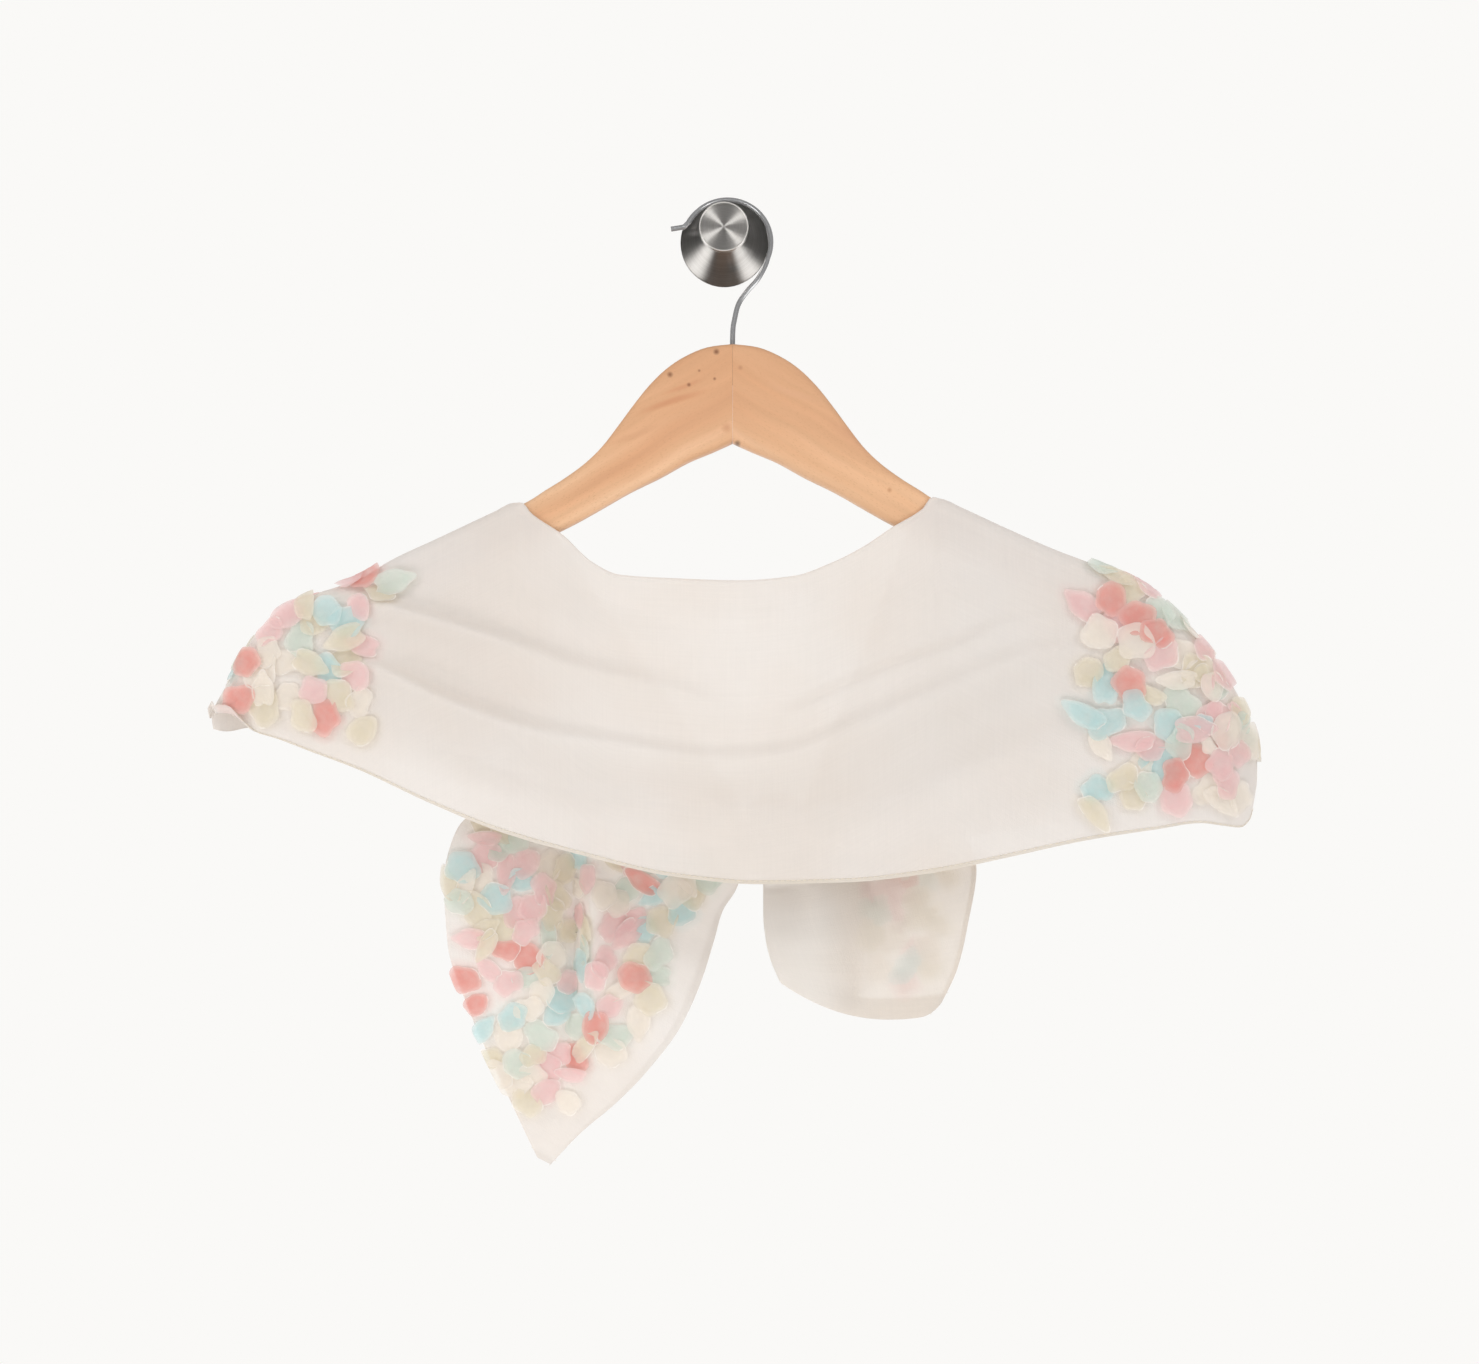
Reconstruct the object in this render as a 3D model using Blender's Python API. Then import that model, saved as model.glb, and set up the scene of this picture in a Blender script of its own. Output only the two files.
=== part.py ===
"""Oblong crepe scarf tied round a wooden hanger that hangs on a turned steel wall knob.

The origin is the middle of the knob's flat back face. The wall is the plane y = 0, the object lies on its
-Y side, +X is to the viewer's right and +Z is up. Sizes are in millimetres. "Out" is the distance from the
wall, so a point at (x, out, z) is at y = -out. MM turns sizes to metres where meshes are made.
"""

import math

import bmesh
import bpy
import numpy as np
from mathutils import Vector

MM = 0.001

# Wall knob, turned about the Y axis: one row for each ring of the profile, wall side first.
KNOB_SEGMENTS = 56
KNOB_PROFILE = (
    # out, radius
    (0.0, 25.4),
    (0.8, 26.0),
    (3.0, 26.0),
    (4.0, 25.2),
    (20.0, 16.8),
    (36.0, 8.4),
    (39.0, 7.6),
    (42.0, 8.8),
    (44.6, 12.8),
    (46.4, 14.5),
    (48.8, 14.6),
    (50.0, 13.8),
)

# Hanger: both halves and the hook share one plane, which leans out from the wall as it goes down.
HANGER_X = 5.0
HANGER_OUT = 14.5
HANGER_LEAN = 6.0
HANGER_THICKNESS = 12.0
HANGER_EDGE = 4.0
HANGER_EDGE_SEGMENTS = 3
GLUE_GAP = 0.3
TOP_LINE = (
    # across, z: upper outline of one arm, measured from the middle of the hanger
    (0, -64),
    (15, -66),
    (28, -71.5),
    (39, -79),
    (49, -89),
    (58, -100.5),
    (67, -113),
    (76, -125),
    (86, -135),
    (98, -144),
    (109, -151),
    (119, -157.5),
    (139, -167.5),
    (170, -182),
    (198, -195.5),
    (214, -204.5),
)
END_LINE = (
    # across, z: rounded end of the arm
    (221, -209),
    (223.5, -215),
    (221, -221),
    (213, -222.5),
)
LOW_LINE = (
    # across, z: lower outline of one arm, from the end back to the middle
    (190, -213),
    (160, -201.5),
    (128, -188),
    (96, -172.5),
    (78, -162.5),
    (60, -152),
    (42, -143),
    (26, -134),
    (12, -128),
    (0, -122.5),
)

# Hook: a bent wire. The loop goes round the knob's flare, and the stem is glued into the wood.
WIRE_RADIUS = 1.5
HOOK_LOOP_RADIUS = 25.6
HOOK_LOOP_ACROSS = -3.1
HOOK_LOOP_Z = -1.9
HOOK_LOOP_FROM = 150
HOOK_LOOP_TO = -22
HOOK_LOOP_STEPS = 26
HOOK_TIP = ((-36.4, 6.0), (-31.4, 6.8), (-28.8, 7.4), (-27.2, 8.8))
HOOK_STEM = ((19.0, -16.5), (14.6, -24.5), (8.6, -31.5), (3.6, -39.0), (1.2, -48.0), (0.0, -58.0))
STEM_DEPTH = 24.0
STEM_END_GAP = 0.4
BORE_CLEARANCE = 0.3
BORE_SEGMENTS = 20

# Cloth: wall thickness of the solids and the gap that stretches keep where they meet. The gap is 0.5 on
# the curve, which leaves about 0.3 between the flat facets.
CLOTH = 1.2
SEAM_GAP = 0.5
ROLL_SHARE = 0.16
ROLL_STEPS = 3

# Where the cloth turns from the front to the back: the start of the turn and its outermost point.
LEFT_TURN = (-270.0, -296.0)
RIGHT_TURN = (282.0, 308.0)
TURN_OUT = 38.0
TURN_STEPS = 5

# Ridge: the crest of the cloth along the arms and past their ends, where front and back meet.
LEFT_RIDGE = (
    # x, z, out, roll, drop: how far the turn over the crest reaches sideways and down
    (-296, -279, 38.0, 2.5, 2.5),
    (-291, -270, 38.0, 5.0, 5.0),
    (-281, -253, 37.8, 7.5, 7.5),
    (-269, -232, 37.4, 9.0, 9.0),
    (-252, -217.5, 37.0, 8.6, 8.6),
    (-233, -210.0, 36.5, 8.2, 8.2),
    (-211, -202.2, 35.8, 7.8, 8.0),
    (-192, -190.9, 34.8, 7.8, 8.0),
    (-164, -177.6, 33.2, 7.9, 8.0),
    (-133, -162.8, 31.6, 8.0, 8.0),
    (-122, -157.8, 31.1, 8.1, 8.0),
)
RIGHT_RIDGE = (
    # x, z, out, roll, drop
    (126, -155.4, 31.1, 8.1, 8.0),
    (138, -160.6, 31.5, 8.0, 8.0),
    (162, -171.8, 32.6, 7.9, 8.0),
    (190, -184.4, 34.0, 7.9, 8.0),
    (222, -197.0, 36.0, 8.4, 8.4),
    (242, -206.5, 36.8, 9.0, 9.0),
    (258, -220.0, 37.2, 9.5, 9.5),
    (273, -236.0, 37.6, 10.0, 10.0),
    (287, -254.0, 38.0, 10.0, 10.0),
    (297, -270.0, 38.0, 8.0, 8.0),
    (303, -283.0, 38.0, 6.0, 6.0),
    (306.5, -297.0, 38.0, 4.0, 4.0),
    (308, -309.0, 38.0, 2.5, 2.5),
)

# Front stretch: its neckline hangs as a cowl between the arms, so its top edge joins the two ridges.
NECKLINE = (
    # x, z, out, roll, drop
    (-117.5, -158.0, 37.0, 2.2, 6.0),
    (-112, -164.2, 38.8, 0.9, 1.5),
    (-94, -176.6, 40.6, 1.0, 1.0),
    (-76, -193.0, 43.6, 1.2, 1.2),
    (-60, -200.4, 47.0, 1.5, 1.5),
    (-30, -202.6, 52.0, 1.6, 1.6),
    (9, -204.0, 54.5, 1.6, 1.6),
    (40, -201.4, 53.0, 1.6, 1.6),
    (62, -193.6, 48.5, 1.4, 1.4),
    (80, -184.4, 44.0, 1.2, 1.2),
    (98, -172.4, 40.8, 1.0, 1.0),
    (115.5, -161.6, 38.8, 0.9, 1.5),
    (121, -154.8, 37.1, 2.2, 6.0),
)
FRONT_LOW = (
    # x, z, out, belly: lower edge, and how far the cloth bows out half way down
    (-296, -288.5, 38.0, 0.0),
    (-288, -289.5, 42.5, 1.0),
    (-277, -289.0, 46.0, 2.0),
    (-262, -292.0, 49.0, 3.0),
    (-235, -301.5, 52.0, 4.0),
    (-208, -311.5, 54.0, 5.0),
    (-169, -329.5, 57.0, 6.0),
    (-125, -347.0, 60.0, 8.0),
    (-78, -360.0, 62.0, 11.0),
    (-30, -371.0, 63.0, 14.0),
    (20, -375.6, 63.5, 15.0),
    (70, -374.6, 63.0, 14.0),
    (117, -369.8, 61.0, 11.0),
    (160, -361.5, 58.0, 8.0),
    (207, -351.6, 55.0, 6.0),
    (247, -345.6, 52.5, 5.0),
    (273, -342.0, 51.0, 4.0),
    (286, -343.6, 49.0, 3.0),
    (297, -345.0, 45.0, 2.0),
    (303, -341.0, 42.0, 1.0),
    (308, -322.0, 38.0, 0.0),
)
# Swags of the front, from the top down. Each line runs from turn to turn, and the section rows follow it.
FRONT_SWAGS = {
    # x, z, height, reach: how far the swag stands out (a trough is negative) and how far it spreads
    "upper swag": (
        (-296, -281.5, 0.0, 4),
        (-270, -250, 0.0, 6),
        (-235, -225, 0.0, 7),
        (-214, -213, 1.5, 7),
        (-200, -216, 4.5, 7),
        (-168, -224, 5.5, 8),
        (-130, -237, 5.5, 9),
        (-85, -253, 4.5, 11),
        (-24, -268, 2.5, 13),
        (5, -277, 0.5, 12),
        (35, -279, -1.5, 10),
        (77, -262, -2.5, 10),
        (134, -241, -2.5, 10),
        (170, -226, -1.5, 9),
        (222, -222, 0.0, 9),
        (258, -243, 0.0, 9),
        (287, -276, 0.0, 9),
        (308, -312, 0.0, 4),
    ),
    "lower swag": (
        (-296, -284, 0.0, 4),
        (-270, -266, 0.0, 7),
        (-235, -254, 0.0, 8),
        (-200, -254, 4.0, 8),
        (-161, -271, 6.0, 9),
        (-115, -287, 6.5, 9),
        (-60, -297, 6.0, 10),
        (0, -305, 6.0, 11),
        (35, -303, 6.0, 11),
        (75, -288, 6.5, 12),
        (113, -272, 6.0, 12),
        (150, -256, 5.0, 12),
        (185, -244, 3.0, 11),
        (222, -248, 0.0, 10),
        (258, -270, 0.0, 9),
        (287, -298, 0.0, 9),
        (308, -315, 0.0, 4),
    ),
    "lower trough": (
        (-296, -286, 0.0, 4),
        (-270, -279, 0.0, 8),
        (-235, -280, 0.0, 9),
        (-200, -286, -1.5, 10),
        (-160, -299, -3.0, 11),
        (-102, -318, -4.0, 12),
        (-50, -329, -4.0, 13),
        (0, -336, -4.0, 13),
        (73, -334, -4.5, 14),
        (117, -320, -4.0, 13),
        (160, -304, -3.0, 12),
        (207, -296, -1.5, 11),
        (258, -306, 0.0, 10),
        (287, -320, 0.0, 9),
        (308, -318, 0.0, 4),
    ),
}
SWAG_STEPS = (4, 3, 3, 3)
FRONT_STATIONS = (
    # x, steps from the station before
    (LEFT_TURN[0], 0),
    (-124, 9),
    (-106, 6),
    (106, 16),
    (128, 6),
    (RIGHT_TURN[0], 10),
)

# Back stretches: from the ridge and the turn to the knot, behind the arms, gathered as they go in.
LEFT_SELVEDGE = (
    # x, z, out, roll, drop
    (-116.5, -158.2, 25.4, 1.9, 6.0),
    (-111, -163.4, 23.9, 0.6, 1.5),
    (-100, -176.0, 23.7, 0.6, 0.6),
    (-70, -219.0, 24.2, 0.6, 0.6),
    (-35, -269.0, 26.0, 0.6, 0.6),
    (-8, -308.0, 28.4, 0.6, 0.6),
    (9, -333.0, 30.0, 0.6, 0.6),
)
RIGHT_SELVEDGE = (
    # x, z, out, roll, drop
    (47, -333.0, 30.0, 0.6, 0.6),
    (58, -304.0, 28.2, 0.6, 0.6),
    (76, -258.0, 25.8, 0.6, 0.6),
    (96, -205.0, 24.4, 0.6, 0.6),
    (108, -175.0, 23.7, 0.6, 0.6),
    (115, -161.6, 23.9, 0.6, 1.5),
    (120.5, -155.0, 25.4, 1.9, 6.0),
)
LEFT_BACK_LOW = (
    # x, z, out
    (-296, -288.5, 38.0),
    (-288, -290.0, 33.0),
    (-277, -288.0, 28.0),
    (-262, -289.0, 24.0),
    (-235, -295.0, 21.5),
    (-208, -303.0, 20.5),
    (-139, -327.0, 21.5),
    (-60, -350.0, 25.5),
    (-20, -360.0, 28.0),
    (9, -367.0, 30.0),
)
RIGHT_BACK_LOW = (
    # x, z, out
    (47, -367.0, 30.0),
    (70, -363.0, 28.4),
    (110, -357.0, 25.6),
    (160, -349.0, 22.5),
    (207, -342.0, 21.0),
    (247, -337.0, 22.0),
    (273, -335.0, 25.0),
    (286, -337.0, 28.5),
    (297, -338.5, 32.0),
    (303, -335.0, 35.0),
    (308, -322.0, 38.0),
)
LEFT_BACK_STATIONS = (
    # x, steps from the station before
    (LEFT_TURN[0], 0),
    (-124, 6),
    (-106, 5),
    (LEFT_SELVEDGE[-1][0], 10),
)
RIGHT_BACK_STATIONS = (
    # x, steps from the station before
    (RIGHT_SELVEDGE[0][0], 0),
    (106, 6),
    (128, 6),
    (RIGHT_TURN[0], 7),
)
BACK_STEPS = 11
GATHER_WAVES = 2.5
GATHER_HEIGHT = 3.0
GATHER_REACH = 150.0

# Half knot: a rounded lump of crossed layers with slanting folds.
KNOT_CENTRE = (28.0, 25.0, -350.0)
KNOT_HALF = (18.4, 17.0, 23.5)
KNOT_FOLDS = 5
KNOT_FOLD_DEPTH = 0.05
KNOT_FOLD_SLANT = 2.5
KNOT_SEGMENTS = 24
KNOT_RINGS = 14

# Left tail: one row for each section, from the knot to the corner that hangs lowest.
LEFT_TAIL = (
    # left_x, left_z, right_x, right_z, out
    (14.4, -338, 14.4, -362, 13.0),
    (-28, -326, 7, -384, 11.5),
    (-84, -324, -1, -397, 11.5),
    (-130, -331, -6, -414, 14.0),
    (-156, -346, -13, -436, 20.0),
    (-164, -378, -26, -464, 24.0),
    (-162, -414, -44, -488, 24.0),
    (-149, -456, -63, -508, 22.0),
    (-130, -498, -84, -526, 20.0),
    (-110, -541, -102, -545, 18.0),
)
LEFT_TAIL_STEPS = (15, 14)
TAIL_VALLEY_X = -90.0
TAIL_VALLEY = (9.0, 10.0)
TAIL_CREST_X = -72.0
TAIL_CREST = (5.0, 8.0)
TAIL_FOLD_FADE = (
    # height, strength of the fold there, from the tip up
    (-490.0, 0.0),
    (-430.0, 1.0),
    (-375.0, 1.0),
    (-345.0, 0.0),
)

# Right tail: its left side is folded round behind, so each section is a hook shape.
RIGHT_TAIL = (
    # left_x, left_z, right_x, right_z, bow, turn, out
    (24, -373.0, 50, -344.5, 11, 3, 16.4),
    (22.5, -381, 92, -338, 10, 9, 15.0),
    (22.5, -388, 136, -346, 6, 13, 17.5),
    (22.5, -400, 148, -371, 3, 12, 21.5),
    (24, -415, 143, -402, 3, 9, 24.0),
    (27, -427, 137, -428, 5, 6, 24.0),
    (31, -436, 124, -456, 11, 3, 24.0),
)
RIGHT_TAIL_STEPS = 12
TAIL_TURN_DEPTH = 8.0
TAIL_FAR_SHARE = 0.5
TAIL_FAR_LIFT = 5.0
TAIL_FAR_SINK = 0.4
TAIL_NEAR_RISE = 0.6
TAIL_RIPPLE = 2.0
TAIL_LAYER_STEPS = (3, 7, 9)

# Finishes: linear colour, roughness, metallic.
STEEL = ((0.48, 0.47, 0.45), 0.28, 1.0)
WIRE = ((0.56, 0.56, 0.57), 0.2, 1.0)
BEECH = ((0.74, 0.44, 0.25), 0.45, 0.0)
CREPE = ((0.83, 0.78, 0.73), 0.75, 0.0)
PETAL_CREPE = ((0.84, 0.70, 0.64), 0.75, 0.0)


def fair(rows, column, at):
    """Reads one column of a table at a place between its rows, on a curve that never overshoots them."""
    places = [row[0] for row in rows]
    values = [row[column] for row in rows]
    if at <= places[0]:
        return values[0]
    if at >= places[-1]:
        return values[-1]
    steps = [b - a for a, b in zip(places, places[1:])]
    slopes = [(b - a) / step for a, b, step in zip(values, values[1:], steps)]
    tangents = [slopes[0]]
    for before, after in zip(slopes, slopes[1:]):
        same_way = before * after > 0
        tangents.append(2 * before * after / (before + after) if same_way else 0.0)
    tangents.append(slopes[-1])
    index = max(i for i, place in enumerate(places[:-1]) if place <= at)
    step = steps[index]
    t = (at - places[index]) / step
    rise = values[index + 1] - values[index]
    start = tangents[index] * step
    end = tangents[index + 1] * step
    return values[index] + start * t + (3 * rise - 2 * start - end) * t**2 + (start + end - 2 * rise) * t**3


def fair_row(rows, at):
    """Reads every column after the first at a place between the rows."""
    return [fair(rows, column, at) for column in range(1, len(rows[0]))]


def numbered(rows):
    """Puts each row's own number in front of it, for tables that follow the length of a tail."""
    return [(number, *row) for number, row in enumerate(rows)]


def spread(*stops):
    """Stations between (place, steps) stops: steps equal parts lead from one place to the next."""
    places = [stops[0][0]]
    for (start, _), (end, steps) in zip(stops, stops[1:]):
        places += [start + (end - start) * step / steps for step in range(1, steps + 1)]
    return places


def turn_share(x, turn):
    """1 where the cloth lies open, falling on a quarter circle to 0 at the outermost point of a turn."""
    start, end = turn
    along = max(0.0, min(1.0, (x - start) / (end - start)))
    return math.sqrt(1.0 - along**2)


def turn_stations(turn):
    """Places along a turn, closer together where it is steep."""
    start, end = turn
    angles = [0.5 * math.pi * step / TURN_STEPS for step in range(1, TURN_STEPS + 1)]
    return [start + (end - start) * math.sin(angle) for angle in angles]


def swag_height(x, z):
    """How far the swags of the front stand out at a place."""
    total = 0.0
    for rows in FRONT_SWAGS.values():
        crest_z, height, reach = fair_row(rows, x)
        total += height * math.exp(-(((z - crest_z) / reach) ** 2))
    return total


def front_shares(x, start_z, low_z):
    """Shares of the way down a section of the front: the rows over the crest, then rows along the swags."""
    lines = [fair(rows, 1, x) for rows in FRONT_SWAGS.values()]
    depths = [(start_z - z) / (start_z - low_z) for z in (*lines, low_z)]
    falls = spread((0.0, 0), *zip(depths, SWAG_STEPS))[1:]
    main = [ROLL_SHARE + (1.0 - ROLL_SHARE) * fall for fall in falls]
    return [*spread((0.0, 0), (ROLL_SHARE, ROLL_STEPS)), *main]


def roll_drop(top, low_z):
    """Height of the turn over the crest, limited where the section is short."""
    top_z, _, _, drop = top
    return min(drop, 0.3 * (top_z - low_z))


def turned_section(side, top, low, belly, share, v):
    """One point of a section that starts on the crest, rolls over it and goes down to the lower edge.

    side is 1 for cloth in front of the hanger and -1 for cloth behind it. share is 1 where front and back
    lie apart and 0 where they meet at a turn.
    """
    top_z, crest, roll, _ = top
    low_z, low_out = low
    seam = 0.5 * SEAM_GAP
    if v < ROLL_SHARE:
        angle = 0.5 * math.pi * v / ROLL_SHARE
        swing = roll * math.sin(angle)
        z = top_z - roll_drop(top, low_z) * (1.0 - math.cos(angle))
        return crest + side * (seam + share * swing), z
    down = (v - ROLL_SHARE) / (1.0 - ROLL_SHARE)
    start_z = top_z - roll_drop(top, low_z)
    open_out = (crest + side * roll) * (1.0 - down) + low_out * down
    middle = crest * (1.0 - down) + TURN_OUT * down if share < 1.0 else crest
    bow = side * belly * 4.0 * down * (1.0 - down)
    out = middle + (open_out + bow - middle) * share if share < 1.0 else open_out + bow
    return out + side * seam, start_z + (low_z - start_z) * down


def front_grid():
    """Hanger side of the front stretch, as columns from left to right, each from crest to lower edge."""
    top_rows = (*LEFT_RIDGE, *NECKLINE, *RIGHT_RIDGE)
    stations = list(reversed(turn_stations(LEFT_TURN)))
    stations += spread(*FRONT_STATIONS)
    stations += turn_stations(RIGHT_TURN)
    columns = []
    for x in stations:
        top = fair_row(top_rows, x)
        low_z, low_out, belly = fair_row(FRONT_LOW, x)
        share = turn_share(x, LEFT_TURN) * turn_share(x, RIGHT_TURN)
        column = []
        start_z = top[0] - roll_drop(top, low_z)
        for v in front_shares(x, start_z, low_z):
            out, z = turned_section(1, top, (low_z, low_out), belly, share, v)
            out += share * swag_height(x, z)
            column.append(Vector((x, -out, z)))
        columns.append(column)
    return columns


def back_grid(ridge, selvedge, low_rows, turn, knot_end, stations):
    """Hanger side of a back stretch, as columns from left to right, each from crest to lower edge."""
    top_rows = sorted((*ridge, *selvedge))
    columns = []
    for x in stations:
        top = fair_row(top_rows, x)
        low = fair_row(low_rows, x)
        share = turn_share(x, turn)
        nearness = max(0.0, 1.0 - abs(x - knot_end) / GATHER_REACH)
        column = []
        for v in spread((0.0, 0), (ROLL_SHARE, ROLL_STEPS), (1.0, BACK_STEPS)):
            out, z = turned_section(-1, top, low, 0.0, share, v)
            down = max(0.0, (v - ROLL_SHARE) / (1.0 - ROLL_SHARE))
            wave = 0.5 - 0.5 * math.cos(2.0 * math.pi * GATHER_WAVES * down)
            out -= GATHER_HEIGHT * nearness**1.5 * wave
            column.append(Vector((x, -out, z)))
        columns.append(column)
    return columns


def left_tail_grid():
    """Front face of the left tail, as sections from the knot to the corner, each left to right."""
    rows = numbered(LEFT_TAIL)
    along_steps, across_steps = LEFT_TAIL_STEPS
    columns = []
    for station in spread((0, 0), (len(rows) - 1, along_steps)):
        left_x, left_z, right_x, right_z, base_out = fair_row(rows, station)
        column = []
        for v in spread((0.0, 0), (1.0, across_steps)):
            x = left_x + (right_x - left_x) * v
            z = left_z + (right_z - left_z) * v
            fade = np.interp(z, *zip(*TAIL_FOLD_FADE))
            valley = TAIL_VALLEY[0] * math.exp(-(((x - TAIL_VALLEY_X) / TAIL_VALLEY[1]) ** 2))
            crest = TAIL_CREST[0] * math.exp(-(((x - TAIL_CREST_X) / TAIL_CREST[1]) ** 2))
            column.append(Vector((x, -(base_out + fade * (crest - valley)), z)))
        columns.append(column)
    return columns


def right_tail_grid():
    """Outer face of the folded right tail: the far layer, the turn at the left, then the near layer."""
    rows = numbered(RIGHT_TAIL)
    far_steps, turn_steps, near_steps = TAIL_LAYER_STEPS
    columns = []
    for station in spread((0, 0), (len(rows) - 1, RIGHT_TAIL_STEPS)):
        left_x, left_z, right_x, right_z, bow, turn, base_out = fair_row(rows, station)
        width = right_x - left_x
        depth = min(TAIL_TURN_DEPTH, 2.0 + turn)
        turn_x = left_x + turn
        far_x = max(turn_x + 1.0, left_x + TAIL_FAR_SHARE * width)
        spots = [(far_x + (turn_x - far_x) * t, base_out - TAIL_FAR_SINK * depth, TAIL_FAR_LIFT)
                 for t in spread((0.0, 0), (0.999, far_steps))]
        for angle in spread((-90, 0), (90, turn_steps)):
            rise = math.sin(math.radians(angle))
            layer = TAIL_NEAR_RISE * 0.5 * (1.0 + rise) - TAIL_FAR_SINK * 0.5 * (1.0 - rise)
            across = turn_x - turn * math.cos(math.radians(angle))
            spots.append((across, base_out + depth * layer, TAIL_FAR_LIFT * 0.5 * (1.0 - rise)))
        for t in spread((0.0, 0), (1.0, near_steps))[1:]:
            out = base_out + depth * TAIL_NEAR_RISE * (1.0 - t) + TAIL_RIPPLE * math.sin(2.0 * math.pi * t)
            spots.append((turn_x + (right_x - turn_x) * t, out, 0.0))
        column = []
        for x, out, lift in spots:
            t = (x - left_x) / width
            z = left_z + (right_z - left_z) * t - bow * 4.0 * t * (1.0 - t) + lift
            column.append(Vector((x, -out, z)))
        columns.append(column)
    return columns


def grid_normals(columns):
    """Unit normals of a grid of points, from the directions to the neighbours of each point."""
    normals = []
    last_column = len(columns) - 1
    for i, column in enumerate(columns):
        last_row = len(column) - 1
        line = []
        for j in range(len(column)):
            along = columns[min(i + 1, last_column)][j] - columns[max(i - 1, 0)][j]
            down = column[min(j + 1, last_row)] - column[max(j - 1, 0)]
            line.append(down.cross(along).normalized())
        normals.append(line)
    return normals


def shell_mesh(name, columns, thickness):
    """Closed wall on a grid of points, thickened to the side of its normals."""
    normals = grid_normals(columns)
    mesh = bmesh.new()
    inner = [[mesh.verts.new(point * MM) for point in column] for column in columns]
    outer = [[mesh.verts.new((point + normal * thickness) * MM) for point, normal in zip(*pair)]
             for pair in zip(columns, normals)]
    for i in range(len(columns) - 1):
        for j in range(len(columns[0]) - 1):
            for layer, way in ((outer, 1), (inner, -1)):
                corners = [layer[i][j], layer[i][j + 1], layer[i + 1][j + 1], layer[i + 1][j]]
                mesh.faces.new(corners[0:3][::way])
                mesh.faces.new([corners[0], corners[2], corners[3]][::way])
    rims = [
        (inner[0], outer[0]),
        (outer[-1], inner[-1]),
        ([column[0] for column in outer], [column[0] for column in inner]),
        ([column[-1] for column in inner], [column[-1] for column in outer]),
    ]
    for near, far in rims:
        for k in range(len(near) - 1):
            mesh.faces.new([near[k], near[k + 1], far[k + 1], far[k]])
    bmesh.ops.recalc_face_normals(mesh, faces=mesh.faces)
    data = bpy.data.meshes.new(name)
    mesh.to_mesh(data)
    mesh.free()
    return data


def material(name, colour, roughness, metallic):
    """Principled material with one colour, given as linear red, green and blue."""
    made = bpy.data.materials.new(name)
    made.use_nodes = True
    shader = made.node_tree.nodes["Principled BSDF"]
    shader.inputs["Base Color"].default_value = (*colour, 1.0)
    shader.inputs["Roughness"].default_value = roughness
    shader.inputs["Metallic"].default_value = metallic
    made.diffuse_color = (*colour, 1.0)
    return made


def add(name, data, finish):
    """Adds one sub-part with its own material."""
    made = bpy.data.objects.new(name, data)
    bpy.context.scene.collection.objects.link(made)
    data.materials.append(material(f"{name}_finish", *finish))
    return made


def shade_smooth(data, sharp_angle):
    """Smooth shading that keeps edges sharper than an angle in degrees."""
    data.shade_smooth()
    data.set_sharp_from_angle(angle=math.radians(sharp_angle))


def wall_knob():
    """Turned knob: the profile spun about the Y axis, closed by a flat back and a flat front face."""
    mesh = bmesh.new()
    rings = []
    for out, radius in KNOB_PROFILE:
        ring = []
        for step in range(KNOB_SEGMENTS):
            angle = 2.0 * math.pi * step / KNOB_SEGMENTS
            place = Vector((radius * math.cos(angle), -out, radius * math.sin(angle)))
            ring.append(mesh.verts.new(place * MM))
        rings.append([mesh.edges.new((ring[k], ring[(k + 1) % KNOB_SEGMENTS])) for k in range(KNOB_SEGMENTS)])
    for near, far in zip(rings, rings[1:]):
        bmesh.ops.bridge_loops(mesh, edges=near + far)
    for ring in (rings[0], rings[-1]):
        bmesh.ops.contextual_create(mesh, geom=ring)
    bmesh.ops.recalc_face_normals(mesh, faces=mesh.faces)
    data = bpy.data.meshes.new("wall_knob")
    mesh.to_mesh(data)
    mesh.free()
    shade_smooth(data, 40)
    return add("wall_knob", data, STEEL)


def hanger_frame():
    """Empty in the hanger's plane: its own Z runs up the plane and its own Y points through the wood."""
    frame = bpy.data.objects.new("hanger_frame", None)
    bpy.context.scene.collection.objects.link(frame)
    frame.location = (HANGER_X * MM, -HANGER_OUT * MM, 0.0)
    frame.rotation_euler.x = -math.radians(HANGER_LEAN)
    return frame


def stem_cutter(frame):
    """Cylinder that bores the hole for the hook's stem along the glue line."""
    top_z = TOP_LINE[0][1]
    length = 2.0 * STEM_DEPTH
    bpy.ops.mesh.primitive_cylinder_add(
        vertices=BORE_SEGMENTS, radius=(WIRE_RADIUS + BORE_CLEARANCE) * MM, depth=length * MM,
        location=(0.0, 0.0, (top_z + 0.5 * length - STEM_DEPTH) * MM))
    cutter = bpy.context.active_object
    cutter.name = "stem_cutter"
    cutter.parent = frame
    cutter.hide_render = True
    cutter.display_type = "WIRE"
    return cutter


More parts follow.
